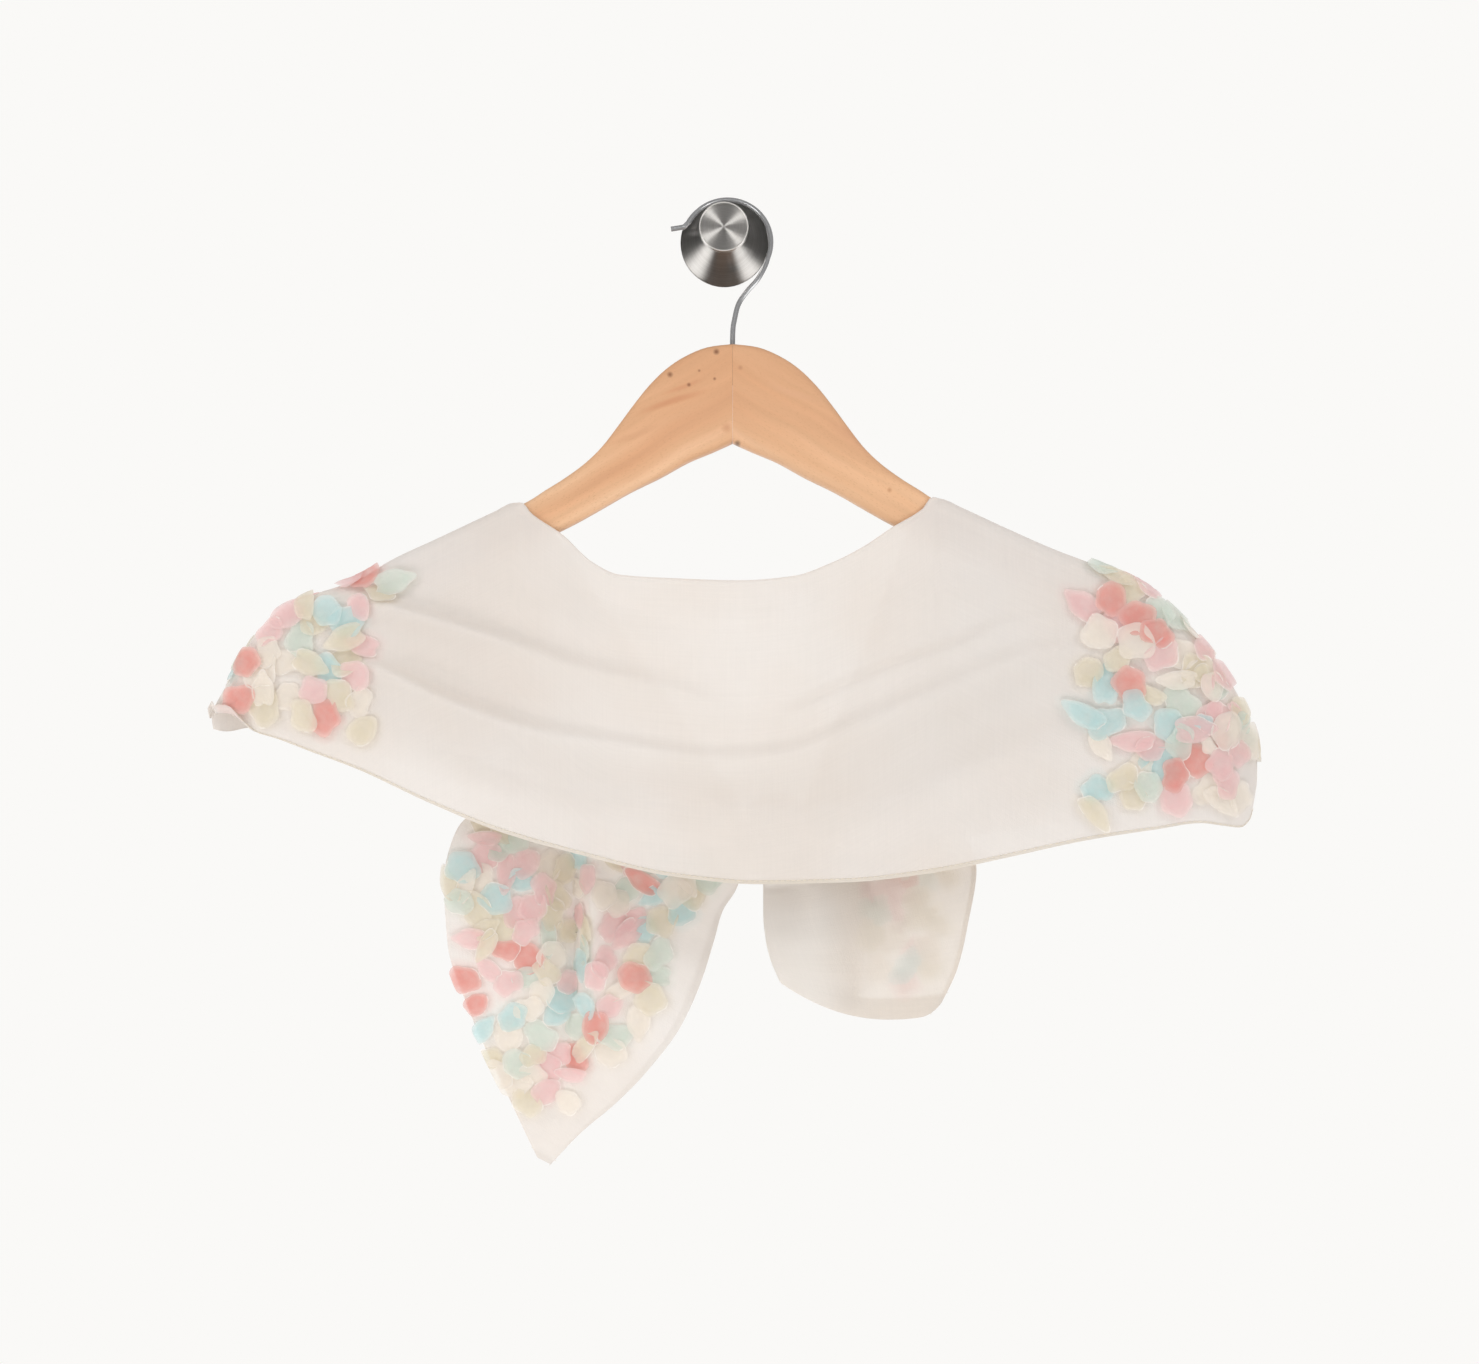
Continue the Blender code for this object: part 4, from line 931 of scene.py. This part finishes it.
def ring_skin(name, rings, finish, sharp=80, endless=False):
    """Closed skin on rings of places in metres: the last ring joins the first, or else both are filled."""
    mesh = bmesh.new()
    rings = [[mesh.verts.new(place) for place in ring] for ring in rings]
    for near, far in zip(rings, rings[1:] + rings[:endless]):
        for k in range(len(near)):
            mesh.faces.new((near[k - 1], near[k], far[k], far[k - 1]))
    for ring in () if endless else (rings[0], rings[-1]):
        centre = mesh.verts.new(sum((vert.co for vert in ring), Vector()) / len(ring))
        for k in range(len(ring)):
            mesh.faces.new((ring[k - 1], ring[k], centre))
    bmesh.ops.recalc_face_normals(mesh, faces=mesh.faces)
    return mesh_piece(name, mesh, finish, sharp)


def tube(name, places, radius, finish, sides=4):
    """Round wire, thread or bead along a list of places in metres."""
    curve = bpy.data.curves.new(name, "CURVE")
    curve.dimensions = "3D"
    curve.bevel_depth = radius * MM
    curve.bevel_resolution = sides
    curve.use_fill_caps = True
    spline = curve.splines.new("POLY")
    spline.points.add(len(places) - 1)
    for point, place in zip(spline.points, places):
        point.co = (*place, 1)
    curve.materials.append(finish)
    plain = baked(linked(name + "_line", curve), name)
    plain.data.shade_smooth()
    return plain


def knob_ring(out, radius):
    """One ring of the turned knob."""
    return [spot(radius * cos(angle), out, radius * sin(angle)) for angle in round_angles(KNOB_SIDES)]


def arm_piece(name, side, finish):
    """One half of the hanger with a smooth outline and finely rounded edges."""
    mesh = bmesh.new()
    face = mesh.faces.new([
        mesh.verts.new((max(across, 0.5 * GLUE_LINE) * side, -0.5 * HANGER_THICKNESS, z))
        for across, z in smooth_route(ARM_OUTLINE, 4)])
    grown_out = bmesh.ops.extrude_face_region(mesh, geom=[face])["geom"]
    moved = [item for item in grown_out if isinstance(item, bmesh.types.BMVert)]
    bmesh.ops.translate(mesh, verts=moved, vec=(0, HANGER_THICKNESS, 0))
    bmesh.ops.recalc_face_normals(mesh, faces=mesh.faces)
    rounded = [edge for edge in mesh.edges
               if abs(edge.verts[0].co.y - edge.verts[1].co.y) < 0.1
               and max(abs(vert.co.x) for vert in edge.verts) > 0.505 * GLUE_LINE]
    bmesh.ops.bevel(mesh, geom=rounded, offset=HANGER_EDGE, segments=EDGE_SEGMENTS, profile=0.5,
                    affect="EDGES", clamp_overlap=True)
    for vert in mesh.verts:
        vert.co = in_hanger_plane(*vert.co)
    bmesh.ops.recalc_face_normals(mesh, faces=mesh.faces)
    return mesh_piece(name, mesh, finish, 50)


def hook_piece(finish):
    """The hook's wire, bent round the knob's flare and let into the wood."""
    turns = [radians(LOOP_ANGLES[0] + (LOOP_ANGLES[1] - LOOP_ANGLES[0]) * step / LOOP_STEPS)
             for step in range(LOOP_STEPS + 1)]
    loop = [(LOOP_CENTRE[0] + LOOP_RADIUS * cos(turn), LOOP_CENTRE[1] + LOOP_RADIUS * sin(turn))
            for turn in turns]
    lead_in = smooth_route([*HOOK_TIP, *loop[:2]], BEND_PARTS)[:-1 - BEND_PARTS]
    lead_out = smooth_route([*loop[-2:], *HOOK_STEM], BEND_PARTS)[BEND_PARTS:]
    route = [*lead_in, *loop[:-1], *lead_out]
    return tube("hook_wire", [in_hanger_plane(across, 0, z) for across, z in route], WIRE_RADIUS, finish, 6)


def knot_pieces(finish):
    """The half knot: a lump of crossed layers in fine slanting pleats, and the strand wound over it."""
    centre = spot(*KNOT_CENTRE) / MM
    rings = []
    for side in np.sin(np.linspace(-0.485 * pi, 0.485 * pi, KNOT_STEPS[0])):
        ring = []
        for around in round_angles(KNOT_STEPS[1]):
            wave = 1 + cos(KNOT_PLEATS * around + KNOT_SLANT * side + 0.8 * sin(2 * around))
            fold = sqrt(1 - side**2) * (1 - KNOT_PLEAT_DEPTH * wave)
            reach = Vector((side, sin(around) * fold, cos(around) * fold))
            ring.append((centre + reach * Vector(KNOT_HALF)) * MM)
        rings.append(ring)
    lump = ring_skin("knot_lump", rings, finish)
    tilt = radians(STRAND_TILT)
    along = Vector((sin(tilt), 0, cos(tilt)))
    across = Vector((cos(tilt), 0, -sin(tilt)))
    toward = Vector((0, 1, 0))
    rings = []
    for around in round_angles(STRAND_STEPS[0]):
        spoke = along * cos(around) * STRAND_REACH[0] + toward * sin(around) * STRAND_REACH[1]
        outward = along * cos(around) / STRAND_REACH[0] + toward * sin(around) / STRAND_REACH[1]
        width = STRAND_HALF[0] * (1 + 0.16 * sin(around * 2 + 0.7))
        ring = []
        for turn in round_angles(STRAND_STEPS[1]):
            height = STRAND_HALF[1] * (1 + 0.10 * cos(STRAND_PLEATS * turn + 1.2 * sin(around)))
            place = across * cos(turn) * width + outward.normalized() * sin(turn) * height
            ring.append((centre + spoke + place) * MM)
        rings.append(ring)
    strand = ring_skin("knot_strand", rings, finish, endless=True)
    for data in (lump.data, strand.data):
        lengths = data.uv_layers.new(name="cloth").data
        for loop in data.loops:
            place = data.vertices[loop.vertex_index].co
            lengths[loop.index].uv = (place.x, place.z + place.y)
    return lump, strand


def petal_cuts(finish):
    """Collection of blossom cuts, each a scalloped disc that is cupped and bent its own way."""
    cuts = bpy.data.collections.new("petal_cuts")
    shapes = random.Random(PETAL_SEED)
    for number, (lobes, depth, cup, bend, stretch) in enumerate(PETAL_KINDS):
        mesh = bmesh.new()
        phase = shapes.uniform(0, tau)
        uneven = [(turns, shapes.uniform(0.02, 0.08), shapes.uniform(0, tau)) for turns in (2, 3, 5)]
        rings = [[mesh.verts.new()] * PETAL_SPOKES]
        for share in PETAL_RINGS:
            ring = []
            for angle in round_angles(PETAL_SPOKES):
                bumps = sum(height * cos(turns * angle + start) for turns, height, start in uneven)
                reach = PETAL_RADIUS * share * (1 + share * (depth * cos(lobes * angle + phase) + bumps))
                x = reach * cos(angle) * stretch**0.3
                y = reach * sin(angle) / stretch**0.7
                wave = PETAL_WAVE * PETAL_RADIUS * share * sin(3 * angle + phase * 2)
                z = cup * reach**2 / PETAL_RADIUS + bend * abs(y) * share + wave
                ring.append(mesh.verts.new(Vector((x, y, z)) * MM))
            rings.append(ring)
        for near, far in zip(rings, rings[1:]):
            for k in range(PETAL_SPOKES):
                corners = (near[k - 1], far[k - 1], far[k], near[k])
                mesh.faces.new(corners[:3] if near is rings[0] else corners)
        data = from_bmesh(f"petal_cut_{number}", mesh)
        keep(data, "rim", [0, *(share for share in PETAL_RINGS for _ in range(PETAL_SPOKES))])
        data.materials.append(finish)
        cuts.objects.link(bpy.data.objects.new(data.name, data))
    return cuts


def node_group(name, rule, finish, **inputs):
    """Geometry Nodes group with named inputs, which gives a finish to the instances that a rule sets out."""
    tree = bpy.data.node_groups.new(name, "GeometryNodeTree")
    tree.interface.new_socket("Geometry", in_out="OUTPUT", socket_type="NodeSocketGeometry")
    for socket, kind in {"Geometry": "Geometry", **inputs}.items():
        tree.interface.new_socket(socket, in_out="INPUT", socket_type="NodeSocket" + kind)
    node = partial(add_node, tree)
    real = node("GeometryNodeRealizeInstances", [rule(node, node("NodeGroupInput").outputs)])
    node("NodeGroupOutput", [node("GeometryNodeSetMaterial", {"Geometry": real, "Material": finish})])
    return tree


def sown_petals(node, given):
    """Rule that scatters petals over a patch of cloth by its own attribute petal_room."""
    room = node("GeometryNodeInputNamedAttribute", ["petal_room"])
    spots = node("GeometryNodeDistributePointsOnFaces", {
        "Mesh": given["Geometry"], "Distance Min": given["Spacing"], "Density Max": given["Density"],
        "Density Factor": room, "Seed": given["Seed"]}, distribute_method="POISSON")
    layer = node("FunctionNodeRandomValue", {2: 0.25, 3: 1, "Seed": 31})
    high_up = node("Math", [layer, given["Lift"]], operation="MULTIPLY")
    lift = node("VectorMath", {0: spots.outputs["Normal"], "Scale": high_up}, operation="SCALE")
    raised = node("GeometryNodeSetPosition", {"Geometry": spots, "Offset": lift})
    kinds = node("GeometryNodeCollectionInfo", {
        "Collection": given["Cuts"], "Separate Children": True, "Reset Children": True})
    which = node("FunctionNodeRandomValue", {5: len(PETAL_KINDS) - 1, "Seed": given["Seed"]}, data_type="INT")
    size = node("FunctionNodeRandomValue", {2: given["Smallest"], 3: given["Largest"], "Seed": 5})
    tilt = given["Tilt"]
    back = node("Math", [tilt, -1], operation="MULTIPLY")
    turn = node("FunctionNodeRandomValue", {
        0: node("CombineXYZ", [back, back]), 1: node("CombineXYZ", [tilt, tilt, tau]), "Seed": 8},
        data_type="FLOAT_VECTOR")
    sown = node("GeometryNodeInstanceOnPoints", {
        "Points": raised, "Instance": kinds, "Pick Instance": True, "Instance Index": which,
        "Rotation": spots.outputs["Rotation"], "Scale": size})
    turned = node("GeometryNodeRotateInstances", {"Instances": sown, "Rotation": turn, "Local Space": True})
    tint = node("FunctionNodeRandomValue", {2: given["Paler"], 3: 1, "Seed": 21})
    return node("GeometryNodeStoreNamedAttribute", {"Geometry": turned, "Name": "tint", "Value": tint},
                domain="INSTANCE")


def sewn_stitches(node, given):
    """Rule that lays one stitch after another along a line."""
    line = node("GeometryNodeMeshToCurve", [given["Geometry"]])
    spots = node("GeometryNodeCurveToPoints", {"Curve": line, "Length": given["Pitch"]}, mode="LENGTH")
    along = node("FunctionNodeAlignRotationToVector", {"Vector": spots.outputs["Tangent"]}, axis="X")
    one = node("GeometryNodeObjectInfo", {"Object": given["Stitch"]}).outputs["Geometry"]
    return node("GeometryNodeInstanceOnPoints", {"Points": spots, "Instance": one, "Rotation": along})


def grown(ground, tree, inputs, name):
    """Runs a Geometry Nodes tree on an object, with inputs set by their names, and keeps the plain mesh."""
    modifier = ground.modifiers.new(name, "NODES")
    modifier.node_group = tree
    for item in tree.interface.items_tree:
        if item.in_out == "INPUT" and item.name in inputs:
            modifier[item.identifier] = inputs[item.name]
    return baked(ground, name)


def crest_room(points):
    """1 well below the ridge and 0 on the turn over it, where no petal is sewn."""
    return smooth_step(1, 0.6 * ROLL_ROWS, np.arange(points.shape[1]))


def edge_room(points):
    """1 inside a grid and 0 near its lower edge."""
    return smooth_step(PETAL_MARGIN - 1, PETAL_MARGIN + 1, from_edge(points))


def front_room(points):
    """Room for petals on the front: none in the plain middle, all of it past an uneven line on each side."""
    x, z = points[..., 0], points[..., 2]
    uneven = 3 * np.sin(z * 0.11) + 2 * np.sin(z * 0.29 + 1)
    further, *heights = RIDGE_START
    tuck = further * smooth_step(*heights, z)
    left = smooth_step(-2, 2, PETALS_START[0] + uneven + tuck - x) * smooth_step(*BARE_EDGE, x)
    right = smooth_step(-2, 2, x - PETALS_START[1] + uneven)
    return np.maximum(left, right) * edge_room(points) * crest_room(points)


def back_room(points, side):
    """Room for petals on a back stretch: as far from the cloth's middle as on the front, once it is unfolded.

    The cloth folds over the sloping ridge, so a place below it lies further along the cloth than its x.
    """
    x, z = points[..., 0], points[..., 2]
    ridge, *_, knot_end = BACKS[side]
    inner, outer = ridge[::side][0], ridge[::side][4]
    slope = (outer[1] - inner[1]) / (outer[0] - inner[0])
    below_fold = inner[1] + slope * (x - inner[0]) - z
    unfolded = np.abs(x) + sin(2 * atan(abs(slope))) * below_fold
    start = abs(PETALS_START[side > 0])
    begun = smooth_step(start - 4, start + 4, unfolded + 5 * np.sin(z * 0.13))
    inner_end = smooth_step(8, 16, np.abs(x - knot_end))
    return begun * inner_end * smooth_step(*BARE_EDGE, x) * edge_room(points) * crest_room(points)


def tail_room(points, first, last):
    """Room for petals on a tail between two shares of its width, but not at its end or on the bare tip."""
    across = even(points.shape[1])
    along = even(len(points)).T
    sides = smooth_step(first, first + 0.02, across) * smooth_step(1 - last, 1.02 - last, 1 - across)
    return sides * smooth_step(0.06, 0.08, 1 - along) * smooth_step(*BARE_TIP, points[..., 2])


def cloth_finder(skins):
    """Finds the nearest place on a few layers of cloth, given as grids whose faces look outwards."""
    places, cells = [], []
    for points in skins:
        cells.extend((grid_cells(points)[1] + len(places)).tolist())
        places.extend((points.reshape(-1, 3) * MM).tolist())
    return BVHTree.FromPolygons(places, cells)


def petals_on(name, points, room, tree, cuts, seed, cloth, smallest, spacing, tilt, paler):
    """Petals sewn on one side of a stretch, settled on the cloth and bent over its ridge as the cloth is."""
    ground = mesh_object(name + "_ground", points, [], grid_cells(points)[1].tolist())
    keep(ground.data, "petal_room", room.ravel())
    made = grown(ground, tree, {
        "Cuts": cuts, "Spacing": spacing * MM, "Density": PETALS_TRIED, "Seed": seed, "Smallest": smallest,
        "Largest": SIZE_SPREAD * smallest, "Tilt": tilt, "Lift": PETAL_LIFT * MM, "Paler": paler}, name)
    for vert in made.data.vertices:
        near, normal, _, _ = cloth.find_nearest(vert.co)
        offset = vert.co - near
        offset += normal * max(0, PETAL_REST * MM - offset.dot(normal))
        if offset.length > PETAL_REACH * MM:
            offset.length = PETAL_REACH * MM
        vert.co = near + offset
        vert.co.y = min(vert.co.y, -PETAL_CLEAR * MM)
    return made


def paint_show_through(cloth, petals):
    """Keeps at each place of a sheer stretch the dye of the petal behind it and how plainly it shows, for the
    painted show-through in the cloth's colour.
    """
    data = petals.data
    finder = BVHTree.FromPolygons(
        [vert.co for vert in data.vertices], [tuple(f.vertices) for f in data.polygons])
    near, far = (MM * reach for reach in SHOWS_WITHIN)
    colours, strengths = [], []
    for vert in cloth.data.vertices:
        _, _, face, apart = finder.find_nearest(vert.co, far)
        found = face is not None
        tint = data.attributes["tint"].data[data.polygons[face].vertices[0]].value if found else 1
        colours.extend(linear([hue for start, hue in DYES if start <= tint][-1]))
        strengths.append(PETAL_SHOWS * (1 - smooth_step(near, far, apart)) if found else 0)
    keep(cloth.data, "petal_dye", colours, "FLOAT_COLOR", "color")
    keep(cloth.data, "petal_behind", strengths)


def light_through(cloth):
    """Keeps the share of light that comes through the right tail: less where two layers lie together."""
    single, double = (MM * x for x in DOUBLE_CLOTH)
    keep(cloth.data, "light_through", [
        SINGLE_GLOW + (1 - smooth_step(double, single, vert.co.x)) * (DOUBLE_GLOW - SINGLE_GLOW)
        for vert in cloth.data.vertices])


def stitch_object():
    """One stitch: a short thread with rounded ends, lying along X."""
    mesh = bmesh.new()
    bmesh.ops.create_uvsphere(mesh, u_segments=6, v_segments=4, radius=1)
    for vert in mesh.verts:
        x, y, z = vert.co
        vert.co = Vector((0.5 * STITCH_LENGTH * z, STITCH_RADIUS * x, STITCH_RADIUS * y)) * MM
    return bpy.data.objects.new("stitch", from_bmesh("stitch", mesh))


def hems(name, points, finish, sewing, stitch):
    """Narrow turned hems with their stitches along the edges that show."""
    made = []
    low_width, end_width = STRETCHES[name][-2:]
    across = np.linalg.norm(points[:, -1] - points[:, -2], axis=-1).mean()
    along = np.linalg.norm(points[-1] - points[-2], axis=-1).mean()
    strips = {"low": points[:, -1 - max(1, round(low_width / across)):]}
    if end_width > 0:
        strips["end"] = points[-1 - max(1, round(end_width / along)):]
    if not name.endswith("tail"):
        x = points[:, 0, 0]
        strips["low"] = strips["low"][(x > LEFT_TURN[1] + HEM_STOPS) & (x < RIGHT_TURN[1] - HEM_STOPS)]
    for edge, strip in strips.items():
        made.append(shell(f"hem_{name}_{edge}", strip, HEM_THICKNESS, finish, SHELL_LIFT + SHELL + HEM_LIFT))
        top = lifted(strip, SHELL_LIFT + SHELL + STITCH_LIFT)
        line = top[:, 0] if edge == "low" else top[0]
        thread = mesh_object("stitch_line", line, [(k, k + 1) for k in range(len(line) - 1)], [])
        made.append(grown(
            thread, sewing, {"Stitch": stitch, "Pitch": STITCH_PITCH * MM}, f"stitches_{name}_{edge}"))
    for piece in made:
        ride(piece, "ivory_crepe")
    return made


def camera():
    """Camera straight in front of the hanging scarf, at the height of its neckline."""
    lens = bpy.data.cameras.new("camera")
    lens.sensor_width = SENSOR_WIDTH
    lens.lens = CAMERA_DISTANCE * SENSOR_WIDTH / VIEW_WIDTH
    made = linked("camera", lens)
    made.location = spot(CAMERA_X, CAMERA_DISTANCE, CAMERA_Z)
    made.rotation_euler = (radians(90), 0, 0)
    bpy.context.scene.camera = made


def lights():
    """Soft boxes all round, and a pale even surround."""
    for name, x, out, z, width, height, power in LIGHTS:
        data = bpy.data.lights.new(name, "AREA")
        data.shape = "RECTANGLE"
        data.size, data.size_y, data.energy = width * MM, height * MM, power
        made = linked(name, data)
        made.location = spot(x, out, z)
        made.rotation_euler = (spot(*AIM) - made.location).to_track_quat("-Z", "Y").to_euler()
        made.visible_glossy = False
    world = bpy.data.worlds.new("studio")
    bpy.context.scene.world = world
    world.use_nodes = True
    world.node_tree.nodes.clear()
    node = partial(add_node, world.node_tree)
    white = linear("#FFFFFF")
    x, y, z = node("SeparateXYZ", [node("TexCoord")]).outputs
    above = node("Math", [y, EYE_RISE, z], operation="MULTIPLY_ADD")
    turn = node("Math", [above, x], operation="ARCTAN2")
    glare = node("MapRange", [y, -0.86, -0.97, DIM_SHINE, ROOM_SHINE], interpolation_type="SMOOTHSTEP")
    for middle, spread, at_side, in_front in SHINE:
        strength = node("MapRange", [y, -0.5, -0.85, at_side, in_front])
        off = node("Math", [turn, radians(middle)], operation="SUBTRACT")
        far = node("Math", [off], operation="ABSOLUTE")
        band = node("MapRange", [far, radians(0.3 * spread), radians(spread), strength, 0],
                    interpolation_type="SMOOTHSTEP")
        glare = node("Math", [band, glare], operation="ADD")
    ray = node("LightPath").outputs
    mirrored = node("MixShader", [ray["Is Glossy Ray"], node("Background", [white, AMBIENT]),
                                  node("Background", [white, glare])])
    both = node("MixShader", [ray["Is Camera Ray"], mirrored, node("Background", [linear(WALL_COLOUR), 1])])
    node("OutputWorld", [both])


def studio_floor():
    """Plain pale floor well below the scarf."""
    mesh = bmesh.new()
    bmesh.ops.create_grid(mesh, x_segments=8, y_segments=8, size=FLOOR_HALF * MM)
    bmesh.ops.translate(mesh, verts=mesh.verts, vec=spot(0, 0, FLOOR_Z))
    floor = mesh_piece("floor", mesh, material("matt_floor_paint", floor_paint))
    floor.visible_glossy = False


def ride(made, slot, *nodes):
    """Rides a finished piece on the one body and hides the solids that it stands for; its slot is not used.
    """
    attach(made, "root")
    if nodes:
        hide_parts(*nodes)
    return made


def hard_pieces():
    """The knob, the hook and the two arms of the hanger."""
    steel = material("turned_brushed_steel", turned_steel)
    knob = ring_skin(
        "knob_turned", [knob_ring(*row) for row in smooth_route(KNOB_PROFILE, PROFILE_PARTS)], steel, 32)
    ride(knob, "turned_steel", "wall_knob")
    # The narrow chamfer round the knob's front disc is broken off with a file after turning. Its steel is
    # paler and half metallic: partly that filed finish, partly a painted highlight for the bright ring that
    # the chamfer catches.
    rim = knob_ring(*KNOB_PROFILE[-1])
    ride(tube("knob_lip", [*rim, rim[0]], LIP_RADIUS, material("hand_filed_steel", filed_steel_and_painted_highlight)),
         "turned_steel")
    ride(hook_piece(material("bright_zinc_wire", bright_wire)), "steel_wire", "hanger_hook")
    for name, side in (("left", -1), ("right", 1)):
        arm = arm_piece(f"beech_arm_{name}", side, material(f"lacquered_beech_{name}", beech, side))
        ride(arm, "beech", f"hanger_arm_{name}")


def scarf():
    """The knot, and each stretch of the cloth with its hems, stitches and petals."""
    ivory = material("ivory_crepe", crepe, "#F5F1ED", "#F3EDE7")
    single = material(
        "ivory_crepe_lit_through", crepe, "#F7F3EE", "#F5EFE8", CREPE_SHEER, "light_through", "#F1E7DC")
    hem_cloth = material("folded_crepe_hem", crepe, "#F8F3EB", "#F6F0E6", 0.30, 0.34, "#F3EADF")
    petal = material("dyed_organza", organza)
    lump, strand = knot_pieces(ivory)
    ride(lump, "ivory_crepe", "scarf_knot")
    ride(strand, "ivory_crepe")
    cuts, stitch = petal_cuts(petal), stitch_object()
    sowing = node_group(
        "petals_sewn_on", sown_petals, petal, Cuts="Collection", Spacing="Float", Density="Float", Seed="Int",
        Smallest="Float", Largest="Float", Tilt="Float", Lift="Float", Paler="Float")
    thread = material("ivory_sewing_thread", cotton_thread)
    sewing = node_group("row_of_stitches", sewn_stitches, thread, Stitch="Object", Pitch="Float")

    # The backs' grids run the other way, so their own side is the wall side, which is the cloth's outside.
    grids = {"front": front_surface(), "left_back": back_surface(-1)[::-1],
             "right_back": back_surface(1)[::-1], "left_tail": left_tail_surface(),
             "right_tail": right_tail_surface()}
    rooms = (front_room(grids["front"]), back_room(grids["left_back"], -1), back_room(grids["right_back"], 1),
             *(tail_room(grids[name], *sewn) for name, sewn in SEWN_WIDTH.items()))
    collar = cloth_finder(
        [lifted(grid, SHELL_LIFT + SHELL) for name, grid in grids.items() if "tail" not in name])
    for seed, (room, (name, points)) in enumerate(zip(rooms, grids.items()), 1):
        tail, inside_out = "tail" in name, name == "left_tail"
        weave = single if name == "right_tail" else ivory
        cloth = ride(shell(f"crepe_{name}", points, SHELL, weave, SHELL_LIFT),
                     "petal_crepe" if inside_out else "ivory_crepe", f"scarf_{name}")
        extras = hems(name, points, hem_cloth, sewing, stitch)
        skin = lifted(points, SHELL_LIFT if inside_out else SHELL_LIFT + SHELL)
        if inside_out:
            skin, room = skin[::-1], room[::-1]
        under = cloth_finder([skin]) if tail else collar
        petals = petals_on(f"petals_{name}", skin, room, sowing, cuts, seed, under,
                           *(TAIL_PETALS if tail else COLLAR_PETALS))
        extras.append(ride(petals, "petal_crepe"))
        paint_show_through(cloth, petals)
        if name == "right_tail":
            light_through(cloth)
        if name == "front":
            turn = slice(-TURN_COLUMNS - 6, None)
            high = smooth_step(*BARE_FOOT, points[turn][..., 2])
            wrapped = petals_on("petals_right_turn", skin[turn], room[turn] * high, sowing, cuts, 7, under,
                                *TURN_PETALS)
            extras.append(ride(wrapped, "petal_crepe"))


bpy.context.scene.view_settings.view_transform = "Standard"
camera()
lights()
studio_floor()
hard_pieces()
scarf()
